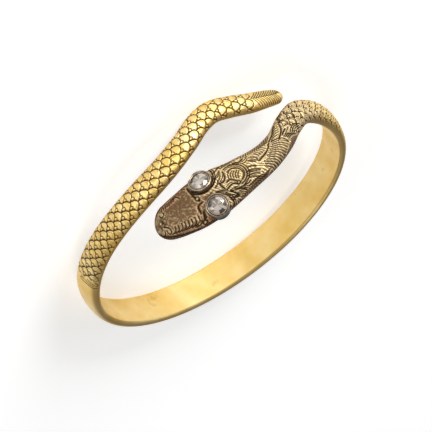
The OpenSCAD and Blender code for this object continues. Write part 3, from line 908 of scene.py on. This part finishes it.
def first_row(field):
    """A number between the first row of whole scales and the one before it."""
    return math.floor(2 * row_at(field["reach"][0], field)) / 2 + 0.25


def scale_rows(along, field):
    """Number of the row of scales, length of a scale, progress along the field and its strength there."""
    nothing = 0 * along
    if field is None:
        return {"row": nothing, "pitch": nothing + 1, "progress": nothing, "scaled": nothing}
    s, (first, last) = along / MM, field["reach"]
    at, pitches = np.array(field["pitches"]).T
    begun = np.clip((s - first + FIELD_LEAD) / FIELD_FADE, 0, 1)
    unended = np.clip((last - s) / FIELD_FADE, 0, 1)
    return {"row": row_at(s, field), "pitch": np.interp(s, at, pitches) * MM,
            "progress": np.clip((s - first) / (last - first), 0, 1), "scaled": begun * unended}


def smooth_curve(points, steps=8):
    """Points on a smooth curve through the given points."""
    p = np.array([points[0], *points, points[-1]], float)
    t = np.linspace(0, 1, steps, endpoint=False)[:, None]
    parts = []
    for a, b, c, d in zip(p, p[1:], p[2:], p[3:]):
        bend, twist = 2 * a - 5 * b + 4 * c - d, 3 * b - a - 3 * c + d
        parts.append(0.5 * (2 * b + (c - a) * t + bend * t ** 2 + twist * t ** 3))
    return np.concatenate([*parts, p[-1:]])


def arc(b, q, radius, first, last, steps=28):
    """Points on an arc round b and q, between two angles in degrees."""
    a = np.radians(np.linspace(first, last, steps))
    return np.stack([b + radius * np.cos(a), q + radius * np.sin(a)], -1)


def hatch(b0, q0, b1, q1, b2, q2, b3, q3, count, bow):
    """Strokes that run evenly from the first stroke to the last."""
    strokes = []
    for k in range(count):
        u = k / max(count - 1, 1)
        start = np.array([b0 + (b2 - b0) * u, q0 + (q2 - q0) * u])
        end = np.array([b1 + (b3 - b1) * u, q1 + (q3 - q1) * u])
        aside = np.array([-(end - start)[1], (end - start)[0]])
        strokes.append(smooth_curve([start, (start + end) / 2 + bow * aside, end]))
    return strokes


def drawing(name, strokes):
    """A hidden mesh of edges in flat coordinates: length along the body and across its crown, in metres."""
    points, edges = [], []
    for stroke in strokes:
        edges += [(len(points) + k, len(points) + k + 1) for k in range(len(stroke) - 1)]
        points += [(x * MM, y * MM, 0) for x, y in stroke]
    mesh = bpy.data.meshes.new(name)
    mesh.from_pydata(points, edges, [])
    sketch = bpy.data.objects.new(name, mesh)
    bpy.context.scene.collection.objects.link(sketch)
    sketch.hide_render = True
    return sketch


def head_strokes(way, curves, arcs, hatches=()):
    """The head's strokes, turned from lengths back from the snout into lengths along the body."""
    strokes = [smooth_curve(row) for row in curves] + [arc(*row) for row in arcs]
    for row in hatches:
        strokes += hatch(*row)
    return [np.stack([way.length / MM - s[:, 0], s[:, 1]], -1) for s in strokes]


def tail_strokes():
    """The rib at the tip of the tail, the lines that slant from it and the leaves that close the scales."""
    rib = smooth_curve(TAIL_RIB)
    strokes = [rib]
    bow_back, bow_out = FEATHER_BOW
    for side, count, first, last, slant, last_slant, reach in FEATHERS:
        for k in range(count):
            u = k / (count - 1)
            s = first + (last - first) * u
            q = float(np.interp(s, rib[:, 0], rib[:, 1]))
            a = math.radians(slant + (last_slant - slant) * u)
            out, back = side * reach * math.sin(a), reach * math.cos(a)
            bow = (s - bow_back * back, q + bow_out * out)
            strokes.append(smooth_curve([(s, q), bow, (s - back, q + out)]))
    return strokes + [smooth_curve(row) for row in TAIL_END_CURVES]


# Materials

# Noise scales of the metal's clouds and grain, of stains, of reddish patches and of the stippled ground
CLOUDS, GRAIN, STAINS, RED_PATCHES, STIPPLE = 160.0, 1500.0, 330.0, 240.0, 2400.0
# Scratches are a noise that is drawn out, so these are its scales along each axis
SCRATCHES = (300.0, 300.0, 4000.0)
# The chased ground: spacing of its lines, noise scale of its swirls, and by how many radians they bend them
CHASE_PITCH = 0.55 * MM
CHASE_SWIRLS = 260.0
CHASE_BEND = 34
# Strength and distance of the bumps of both metals
GOLD_BUMP = (0.4, 0.06 * MM)
COLLET_BUMP = (0.3, 0.04 * MM)
# Colours of the collets: their dull and their worn metal, the foil under the stones, and the painted shade in
# their groove and on their lower wall
COLLET_DULL = (0.26, 0.19, 0.13, 1)
COLLET_WORN = (0.52, 0.45, 0.35, 1)
COLLET_FOIL = (0.90, 0.87, 0.83, 1)
COLLET_SHADE = (0.05, 0.035, 0.025, 1)
# The facets of a stone in a ring, and the radius of its table
STONE_FACETS = 16
STONE_TABLE = 1.15 * MM


def shader(name, constants):
    """A material with one Principled shader. Values that never change are set straight on its sockets."""
    material = bpy.data.materials.new(name)
    material.use_nodes = True
    surface = material.node_tree.nodes["Principled BSDF"]
    for key, value in constants.items():
        surface.inputs[key].default_value = value
    return material, surface, Graph(material.node_tree)


def drive(g, surface, **values):
    """Links values to the shader's sockets of those names."""
    for key, value in values.items():
        g.tree.links.new(value.socket, surface.inputs[key.replace("_", " ")])


def bumped(g, height, strength, distance):
    return g.add("ShaderNodeBump", {}, {"Height": height, "Strength": strength, "Distance": distance})


def attribute(g, name):
    return g.add("ShaderNodeAttribute", {"attribute_name": name}, {}, "Fac")


def object_place(g):
    return g.add("ShaderNodeTexCoord", {}, {}, "Object")


def chased_ground(g, place, patina):
    """Wavy lines where the patina is neither none nor full."""
    x, _, z = g.parts(place)
    swirl = g.noise(place, CHASE_SWIRLS, 1)
    run = (x + 0.6 * z) * (2 * math.pi / CHASE_PITCH)
    wave = 0.5 + 0.5 * g.sin(run + (swirl - 0.5) * CHASE_BEND)
    return g.ease(wave) * g.clamp(6 * patina * (1.02 - patina))


def bare_gold(g, place, finish, cloud, shine, flank):
    """Gold that is pale where it is polished, with painted shade on its flanks and some stains."""
    pale = g.clamp((cloud - 0.3) * 2.2 + shine * 6)
    stains = g.clamp((g.noise(place, STAINS) - 0.66) * 9)
    gold = g.mix(pale, (*finish.gold_deep, 1), (*finish.gold_pale, 1))
    # Painted shade on the flanks, and the stains, turn the gold towards the flank colour
    return g.mix(g.high(0.55 * flank, 0.45 * stains), gold, (*finish.gold_stain_and_flank_shade, 1))


def snake_metal(name, finish):
    """Gold that turns into worn brown patina where the patina attribute says so. Its cuts are dark, the
    ridges beside them are worn bright, and the darkest part has a stippled ground."""
    material, surface, g = shader(name, {"Specular IOR Level": 0.5})
    place = object_place(g)
    groove, patina, ridge, flank, plain = [
        attribute(g, key) for key in ("groove", "patina", "ridge", "flank", "plain")]
    cloud, grain = g.noise(place, CLOUDS, 3), g.noise(place, GRAIN, 3)
    uncut = 1 - groove
    chased = chased_ground(g, place, patina) * uncut * (1 - plain)
    worn = g.clamp(patina * 1.3 + (cloud - 0.5) * patina * (1.3 - patina) * 2)
    gold = bare_gold(g, place, finish, cloud, (grain - 0.5) * ridge, flank)

    front = g.clamp((patina - 0.78) * 5)
    stipple = g.ease((g.noise(place, STIPPLE, 1) - 0.42) * 5) * front * uncut
    mottle = (grain - 0.5) * 0.9 + (cloud - 0.5) * 0.4
    worn_ridge = ridge * uncut * (1.1 - 0.95 * patina) * 2
    # The flank term is painted shade; the others are mottle, worn ridges and the chased and stippled grounds
    bright = g.clamp(0.37 - 0.16 * flank + mottle + worn_ridge - 0.3 * chased - 0.22 * front - 0.25 * stipple)
    red = g.clamp((g.noise(place, RED_PATCHES) - 0.46) * 4 + 1.1 * flank - 0.2 * front)
    bronze = g.mix(red, (*finish.bronze_dark, 1), (*finish.bronze_red, 1))
    bronze = g.mix(bright, bronze, (*finish.bronze_light, 1))

    top = g.mix(worn, gold, bronze)
    recess = g.mix(worn, (*finish.gold_recess, 1), (*finish.bronze_recess, 1))
    depth = g.clamp(g.high(groove * (0.9 + 0.3 * cloud), 0.6 * chased * worn))
    scratches = g.noise(g.vector("MULTIPLY", place, SCRATCHES), 1.0)
    roughness = 0.38 + 0.14 * grain + 0.2 * depth + 0.15 * ridge
    height = grain * (0.6 + 2 * ridge) + scratches * 0.3 + cloud - 1.2 * chased - 1.5 * stipple
    drive(g, surface, Base_Color=g.mix(depth, top, recess), Roughness=g.clamp(roughness),
          Metallic=g.clamp(1 - 0.15 * worn * (1 - depth)), Normal=bumped(g, height, *GOLD_BUMP))
    return material


def collet_metal():
    """Grey worn metal round the stones, with painted shade in its groove and on its lower wall, and bright
    foil under the stones.
    """
    material, surface, g = shader("collet_metal", {"Metallic": 1.0})
    grain = g.noise(object_place(g), GRAIN, 3)
    groove = attribute(g, "groove")
    top = g.mix(g.clamp((grain - 0.3) * 2), COLLET_DULL, COLLET_WORN)
    top = g.mix(g.clamp(-groove), top, COLLET_FOIL)
    height = grain * g.clamp(1 + groove)
    # Painted shade darkens the groove and the lower wall
    drive(g, surface, Base_Color=g.mix(g.clamp(groove), top, COLLET_SHADE),
          Roughness=g.clamp(0.28 + 0.2 * grain), Normal=bumped(g, height, *COLLET_BUMP))
    return material


def stone_glass(name, middle, axis, finish):
    """Clear cut glass whose facets round the table each have a painted reflection of their own, light or
    dark, as in an old cut stone.
    """
    material, surface, g = shader(name, {"Roughness": 0.03, "IOR": 1.75, "Transmission Weight": 0.4})
    away = g.vector("SUBTRACT", object_place(g), tuple(middle))
    one_way = axis.orthogonal().normalized()
    x = g.vector("DOT_PRODUCT", away, tuple(one_way), output="Value")
    y = g.vector("DOT_PRODUCT", away, tuple(axis.cross(one_way)), output="Value")
    facet = g.math("FLOOR", g.math("ARCTAN2", y, x) * (STONE_FACETS / (2 * math.pi)))
    off_table = g.hypot(x, y) > STONE_TABLE
    tone = g.add("ShaderNodeTexWhiteNoise", {"noise_dimensions": "2D"}, {
        "Vector": g.xyz(facet, off_table, 0)})
    # How dark each facet's painted reflection is
    shade = g.clamp((tone - 0.4) * 4) * g.pick(off_table, 1, 0.55)
    drive(g, surface, Base_Color=g.mix(shade, (*finish.stone_painted_light, 1), (*finish.stone_painted_dark, 1)))
    return material


# Building pieces

def made_solid(piece):
    """Turns a piece's modifiers into its mesh, lays it at its place at rest and drops what only built it."""
    graph = bpy.context.evaluated_depsgraph_get()
    mesh = bpy.data.meshes.new_from_object(
        piece.evaluated_get(graph), preserve_all_data_layers=True, depsgraph=graph)
    if not mesh.polygons:
        raise RuntimeError(f"{piece.name} has no faces")
    seed = piece.data
    piece.modifiers.clear()
    piece.data = mesh
    bpy.data.meshes.remove(seed)
    mesh.name = piece.name
    mesh.transform(rest_matrix())
    for name in (*POINT_VALUES, *KEPT_VALUES):
        if name in mesh.attributes:
            mesh.attributes.remove(mesh.attributes[name])


def seeded(name, values):
    """A piece whose mesh is points only, with a value of each name for each point."""
    count = len(next(iter(values.values())))
    mesh = bpy.data.meshes.new(name)
    mesh.from_pydata([(0, 0, 0)] * count, [], [])
    for key, column in values.items():
        kind, field = ("FLOAT_VECTOR", "vector") if np.ndim(column) == 2 else ("FLOAT", "value")
        layer = mesh.attributes.new(key, kind, "POINT")
        layer.data.foreach_set(field, np.ravel(column).astype(np.float32))
    piece = bpy.data.objects.new(name, mesh)
    bpy.context.scene.collection.objects.link(piece)
    return piece


def rounding(start, reach, steps, forward):
    """Lengths that lie closer together where the body rounds off."""
    lengths = reach * (1 - np.cos(np.linspace(0, math.pi / 2, steps)))
    return start + lengths if forward else (start - lengths)[::-1]


# Rings over each rounded end, and the size of the ring that closes an end, as a share of the one beside it
TAIL_ROUND_RINGS = 36
SNOUT_ROUND_RINGS = 64
CAP_SHRINK = 1e-6
# Angles between which the patina grows, and how much it grows there
NECK_PATINA, NECK_PATINA_SHARE = (289, 332), 0.75
HEAD_PATINA, HEAD_PATINA_SHARE = (362, 378), 0.25


def patina_at(turn):
    """None on the band and the tail, some along the bend and the neck, and the most in front of the eyes."""
    def rising(first, last):
        u = np.clip((turn - first) / (last - first), 0, 1)
        return u * u * (3 - 2 * u)
    return NECK_PATINA_SHARE * rising(*NECK_PATINA) + HEAD_PATINA_SHARE * rising(*HEAD_PATINA)


def body_seed(name, way, start, end, pitch, field=None):
    """One point for each ring of the body, and one more at each cut end for its cap."""
    first = TAIL_ROUND if start == 0 else start
    last = end - SNOUT_ROUND if end == way.length else end
    along = np.linspace(first, last, 1 + int(math.ceil((last - first) / pitch)))
    if start == 0:
        along = np.concatenate([rounding(0, TAIL_ROUND, TAIL_ROUND_RINGS, True), along[1:]])
    if end == way.length:
        along = np.concatenate([along[:-1], rounding(end, SNOUT_ROUND, SNOUT_ROUND_RINGS, False)])
    turn = way.turn_at(along)
    half, thick, base = way.section(along)
    values = {
        "turn": turn, "level": way.read(turn, "level"), "climb": np.interp(turn, way.fine, way.climbs),
        "pace": way.per_degree(turn), "half": half, "thick": thick, "base": base,
        "fullness": way.read(turn, "fullness"), "lift": 0 * along, "along": along,
        "girth": np.array([way.girth(s) for s in along]),
        "patina": patina_at(turn), **scale_rows(along, field),
    }
    for key, column in values.items():
        shrink = CAP_SHRINK if key in ("half", "thick", "base") else 1
        values[key] = np.concatenate([[column[0] * shrink], column, [column[-1] * shrink]])
    values["lift"][[0, -1]] = thick[[0, -1]] / 2
    return seeded(name, values)


def handed_over(piece):
    """Tells the frame what a finished piece stands for."""
    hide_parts(SNAKE)
    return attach(piece, BODY)


def build_body(name, way, start, end, pitch, crown_steps, trees, material, slot, field=None):
    """Sweeps one stretch of the snake, gives it its relief and hands it over as a finished piece."""
    piece = body_seed(name, way, start, end, pitch, field)
    use_tree(piece, swept_body_tree(), Crown_steps=crown_steps, Half_opening_x=way.a, Half_opening_y=way.b,
             Material=material)
    sketches = []
    for tree, inputs in trees:
        use_tree(piece, tree, Material=material, **inputs)
        sketches += [v for v in inputs.values() if isinstance(v, bpy.types.Object)]
    made_solid(piece)
    for sketch in sketches:
        bpy.data.objects.remove(sketch)
    return handed_over(piece)


# Where the pieces meet, as angles from the front or lengths back from the snout
TAIL_TO_TURN = 84
NECK_FROM_TURN = 278
HEAD_BACK = 24 * MM
# Spacing of the rings and number of steps across the crown, for each piece
TAIL_FINENESS = (0.09 * MM, 96)
BAND_FINENESS = (0.4 * MM, 96)
NECK_FINENESS = (0.08 * MM, 104)
HEAD_FINENESS = (0.075 * MM, 180)


def cut_at(way, turn):
    """Length along the body at an angle where two pieces meet."""
    return float(way.along_at(turn))


def settings():
    """The finish, and the way of the body that the sizes give."""
    scene = bpy.context.scene
    return scene.bangle_finish, Way(scene.bangle_sizes)


def shared(name, build, *inputs):
    """A material that several operators use, made once."""
    return bpy.data.materials.get(name) or build(name, *inputs)


def line_inputs(finish, width, depth):
    """Inputs of an engraving, as multiples of the finish's line."""
    return {"Width": width * finish.line_width, "Depth": depth * finish.line_depth}


def scale_inputs(finish, field, start_width, end_width, depth):
    """Inputs of a field of scales, as multiples of the finish's line."""
    return {"Width_at_start": start_width * finish.line_width, "Width_at_end": end_width * finish.line_width,
            "Depth": depth * finish.line_depth, "First_row": first_row(field)}


class BuildTail(bpy.types.Operator):
    """Build the scaled tail"""
    bl_idname = "bangle.tail"
    bl_label = "Tail"

    def execute(self, context):
        finish, way = settings()
        field = FIELDS["tail"]
        metal = shared("engraved_gold", snake_metal, finish)
        lines = drawing("tail_lines", tail_strokes())
        build_body("tail", way, 0, cut_at(way, TAIL_TO_TURN), *TAIL_FINENESS, [
            (scales_tree(), {"Last": TAIL_SCALES_END, "Slant": TAIL_SCALES_SLANT,
                             **scale_inputs(finish, field, 1.65, 1.9, 1.2)}),
            (engraving_tree(), {"Strokes": lines, **line_inputs(finish, 1.1, 1.1)}),
        ], metal, "gold", field)
        return {"FINISHED"}


class BuildBand(bpy.types.Operator):
    """Build the plain polished band"""
    bl_idname = "bangle.band"
    bl_label = "Band"

    def execute(self, context):
        finish, way = settings()
        metal = shared("engraved_gold", snake_metal, finish)
        start, end = cut_at(way, TAIL_TO_TURN), cut_at(way, NECK_FROM_TURN)
        build_body("band", way, start, end, *BAND_FINENESS, [], metal, "gold")
        return {"FINISHED"}


class BuildNeck(bpy.types.Operator):
    """Build the neck with its scales and engraving"""
    bl_idname = "bangle.neck"
    bl_label = "Neck"

    def execute(self, context):
        finish, way = settings()
        field = FIELDS["neck"]
        metal = shared("patinated_gold", snake_metal, finish)
        start, end = cut_at(way, NECK_FROM_TURN), way.length - HEAD_BACK
        scales = (scales_tree(), {
            "Middle": -0.9 * MM, "Power_at_start": 1.6, "Power_at_end": 2.0, "Inner_line": 0.85,
            **scale_inputs(finish, field, 1.4, 1.55, 1.3)})
        build_body("neck", way, start, end, *NECK_FINENESS, [scales, *head_engraving(way, finish)],
                   metal, "worn_gold", field)
        return {"FINISHED"}


def head_engraving(way, finish):
    """The trees that cut the bold and the fine lines of the neck and the head."""
    bold = drawing("bold_lines", head_strokes(way, BOLD_CURVES, BOLD_ARCS))
    fine = drawing("fine_lines", head_strokes(way, [*FINE_CURVES, BEAD_LINE], FINE_ARCS, HATCHES))
    return [
        (engraving_tree(), {"Strokes": bold, "Swell": 0.06 * MM, **line_inputs(finish, 1.75, 1.8)}),
        (engraving_tree(), {"Strokes": fine, "Swell": 0.04 * MM, **line_inputs(finish, 1.1, 1.3)}),
    ]


def eye(way, side):
    """Middle and axis of a stone, in the frame of the wrist."""
    s = way.length - EYE_BACK
    middle = way.on_body(s, side * EYE_APART, EYE_HEIGHT)
    foot = way.on_body(s, 0, 0)
    out, over = (way.on_body(s, 0, MM) - foot) / MM, (way.on_body(s, MM, 0) - foot) / MM
    tilt = math.radians(EYE_TILT)
    return Vector(middle), Vector(out * math.cos(tilt) + side * over * math.sin(tilt)).normalized()


class BuildHead(bpy.types.Operator):
    """Build the flat engraved head"""
    bl_idname = "bangle.head"
    bl_label = "Head"

    def execute(self, context):
        finish, way = settings()
        metal = shared("patinated_gold", snake_metal, finish)
        (near, near_axis), (far, far_axis) = eye(way, 1), eye(way, -1)
        forms = (head_forms_tree(), {
            "Length": way.length, "Near_eye": near, "Near_axis": near_axis,
            "Far_eye": far, "Far_axis": far_axis})
        build_body("head", way, way.length - HEAD_BACK, way.length, *HEAD_FINENESS,
                   head_engraving(way, finish) + [forms], metal, "worn_gold")
        return {"FINISHED"}


# Small steps from a bead that tell which way it faces: along the body, and as a share of the crown
FACING_STEP = 0.1 * MM
FACING_SHARE = 0.01
BEAD_PATINA = 0.8


def bead_rows():
    """The beads along their line and the single ones, as rows of b, q and radius."""
    line = smooth_curve(BEAD_LINE)
    reach = np.concatenate([[0], np.cumsum(np.hypot(*np.diff(line, axis=0).T))])
    steps = np.arange(0, reach[-1], BEAD_PITCH)
    along, across = (np.interp(steps, reach, line[:, i]) for i in range(2))
    return [(b, q, BEAD_RADIUS) for b, q in zip(along, across)] + BEADS


def on_crown(way, b, q):
    """The place of a bead on the crown, and the direction out of the metal there."""
    s = way.length - b * MM
    share = 0.5 - q * MM / way.girth(s)
    place = way.on_body(s, *way.crown(s, share))
    ahead = way.on_body(s + FACING_STEP, *way.crown(s + FACING_STEP, share))
    beside = way.on_body(s, *way.crown(s, share - FACING_SHARE))
    out = np.cross(ahead - place, beside - place)
    return place, out / np.linalg.norm(out)


class BuildBeads(bpy.types.Operator):
    """Build the small beads of the engraving"""
    bl_idname = "bangle.beads"
    bl_label = "Beads"

    def execute(self, context):
        finish, way = settings()
        metal = shared("patinated_gold", snake_metal, finish)
        rows = bead_rows()
        places, facing = zip(*(on_crown(way, b, q) for b, q, _ in rows))
        size = np.array([radius * MM for _, _, radius in rows])
        piece = seeded("beads", {
            "outward": np.array(facing), "size": size, "patina": 0 * size + BEAD_PATINA,
            "ridge": 0 * size + 1})
        piece.data.vertices.foreach_set("co", np.ravel(places))
        use_tree(piece, beads_tree(), Material=metal)
        made_solid(piece)
        handed_over(piece)
        return {"FINISHED"}


# Outline of a collet. Columns: radius and height in millimetres from the middle of the stone, and a tone: how
# much painted shade darkens the metal where above 0, and how bright the foil under the stone is where below 0
COLLET_OUTLINE = [
    (0, -1.5, 1),
    (2.65, -1.5, 1),
    (2.55, -0.5, 0.8),
    (2.49, 0, 0.3),
    (2.45, 0.2, 0),
    (2.39, 0.33, 0),
    (2.29, 0.39, 0),
    (2.19, 0.33, 0.3),
    (2.12, 0.25, 1),
    (2.06, 0.32, 0.4),
    (1.99, 0.4, 0),
    (1.91, 0.41, 0),
    (1.85, 0.36, 0),
    (1.85, 0.28, 0.2),
    (2.07, 0.15, -0.6),
    (2.07, -0.15, -1),
    (1.07, -0.77, -1),
    (0.15, -1.33, -1),
    (0, -1.33, -1),
]


class BuildCollets(bpy.types.Operator):
    """Build the two collets, and give the stones in them their glass"""
    bl_idname = "bangle.collets"
    bl_label = "Collets and stones"

    def execute(self, context):
        finish, way = settings()
        radius, height, dark = np.array(COLLET_OUTLINE).T
        metal = collet_metal()
        for side, side_name in ((1, "near"), (-1, "far")):
            middle, axis = eye(way, side)
            outline = {"radius": radius * MM, "height": height * MM, "groove": dark}
            piece = seeded(f"collet_{side_name}", outline)
            use_tree(piece, turned_tree(), Middle=middle, Axis=axis, Material=metal)
            made_solid(piece)
            handed_over(piece)
            stone = frame["nodes"][STONES[side]]
            stone.data.materials.clear()
            stone.data.materials.append(stone_glass(
                f"glass_{side_name}", rest_matrix() @ middle, rest_matrix().to_3x3() @ axis, finish))
        return {"FINISHED"}


# The photo's view, found by fitting the outline: angles round the wrist's frame in degrees, distances in
# metres, lens and sensor in millimetres
VIEW_AZIMUTH = 15
VIEW_ELEVATION = 25.3
VIEW_ROLL = 141.4
VIEW_DISTANCE = 0.7
VIEW_TARGET = (-0.00068, 0.00173, 0)
VIEW_LENS = 280.9
VIEW_SENSOR = 36
VIEW_CLIP = (0.01, 20)


def direction(azimuth, elevation):
    """From the bangle towards an azimuth, where 0 is the front, and an elevation, both in degrees."""
    a, e = math.radians(azimuth), math.radians(elevation)
    return Vector((math.sin(a) * math.cos(e), -math.cos(a) * math.cos(e), math.sin(e)))


def photo_camera():
    """The camera at the photo's angle to the bangle, moved with it into its place at rest."""
    back, roll = direction(VIEW_AZIMUTH, VIEW_ELEVATION), math.radians(VIEW_ROLL)
    right = (-back).cross(Vector((0, 0, 1))).normalized()
    up = right.cross(-back)
    across = math.cos(roll) * right + math.sin(roll) * up
    above = -math.sin(roll) * right + math.cos(roll) * up
    place = Vector(VIEW_TARGET) + VIEW_DISTANCE * back
    matrix = Matrix([(across[i], above[i], back[i], place[i]) for i in range(3)] + [(0, 0, 0, 1)])
    camera = bpy.data.objects.new("camera", bpy.data.cameras.new("camera"))
    camera.data.lens = VIEW_LENS
    camera.data.sensor_width = VIEW_SENSOR
    camera.data.clip_start, camera.data.clip_end = VIEW_CLIP
    camera.matrix_world = rest_matrix() @ matrix
    return camera


# Lamps. Columns: name, azimuth and elevation in degrees as seen from the bangle, distance, size and power
LAMPS = [
    ("key", -28, 12, 1.6, 0.8, 30),
    ("low", 40, 12, 1.6, 0.8, 8),
    ("fill", -80, 30, 1.6, 0.6, 2),
    ("rim", 117, 58, 1.5, 0.7, 3),
]
# Half the width of the floor in metres, and the light of its paper and of the world
FLOOR_HALF = 3.0
PAPER_GLOW = 0.4
WORLD_STRENGTH = 0.26


def paper_floor():
    """A large sheet of paper that glows a little, so that it looks nearly white."""
    mesh = bpy.data.meshes.new("floor")
    corners = [(x * FLOOR_HALF, y * FLOOR_HALF, 0) for x, y in ((-1, -1), (1, -1), (1, 1), (-1, 1))]
    mesh.from_pydata(corners, [], [(0, 1, 2, 3)])
    paper, _, _ = shader("paper", {
        "Base Color": (0.93, 0.93, 0.925, 1), "Roughness": 0.9, "Specular IOR Level": 0.1,
        "Emission Color": (1, 1, 1, 1), "Emission Strength": PAPER_GLOW})
    mesh.materials.append(paper)
    return bpy.data.objects.new("floor", mesh)


def area_lamp(name, azimuth, elevation, distance, size, power):
    """A square lamp that looks at the bangle."""
    towards = direction(azimuth, elevation)
    lamp = bpy.data.lights.new(name, "AREA")
    lamp.size, lamp.energy = size, power
    held = bpy.data.objects.new(name, lamp)
    held.location = towards * distance
    held.rotation_mode = "QUATERNION"
    held.rotation_quaternion = (-towards).to_track_quat("-Z", "Y")
    return held


class BuildStage(bpy.types.Operator):
    """Set the pale floor, the lamps, the world and the camera"""
    bl_idname = "bangle.stage"
    bl_label = "Stage"

    def execute(self, context):
        scene = context.scene
        camera = photo_camera()
        stage = [paper_floor(), camera, *(area_lamp(*row) for row in LAMPS)]
        for thing in stage:
            scene.collection.objects.link(thing)
        scene.camera = camera
        world = bpy.data.worlds.new("studio")
        world.use_nodes = True
        background = world.node_tree.nodes["Background"]
        background.inputs["Color"].default_value = (1, 1, 1, 1)
        background.inputs["Strength"].default_value = WORLD_STRENGTH
        scene.world = world
        scene.view_settings.view_transform = "Standard"
        return {"FINISHED"}


BUILDERS = (BuildTail, BuildBand, BuildNeck, BuildHead, BuildBeads, BuildCollets, BuildStage)


class BanglePanel(bpy.types.Panel):
    """Lists the sizes, the finish and the steps that build the bangle"""
    bl_idname = "VIEW3D_PT_snake_bangle"
    bl_label = "Snake bangle"
    bl_space_type = "VIEW_3D"
    bl_region_type = "UI"
    bl_category = "Snake bangle"

    def draw(self, context):
        for group in (context.scene.bangle_sizes, context.scene.bangle_finish):
            box = self.layout.box()
            for name in type(group).__annotations__:
                box.prop(group, name)
        for builder in BUILDERS:
            self.layout.operator(builder.bl_idname)


CLASSES = (BangleSizes, BangleFinish, *BUILDERS, BanglePanel)


def register():
    for cls in CLASSES:
        bpy.utils.register_class(cls)
    bpy.types.Scene.bangle_sizes = bpy.props.PointerProperty(type=BangleSizes)
    bpy.types.Scene.bangle_finish = bpy.props.PointerProperty(type=BangleFinish)


def unregister():
    del bpy.types.Scene.bangle_finish
    del bpy.types.Scene.bangle_sizes
    for cls in reversed(CLASSES):
        bpy.utils.unregister_class(cls)


def main():
    register()
    for builder in BUILDERS:
        group, name = builder.bl_idname.split(".")
        getattr(getattr(bpy.ops, group), name)()


if __name__ == "__main__":
    main()
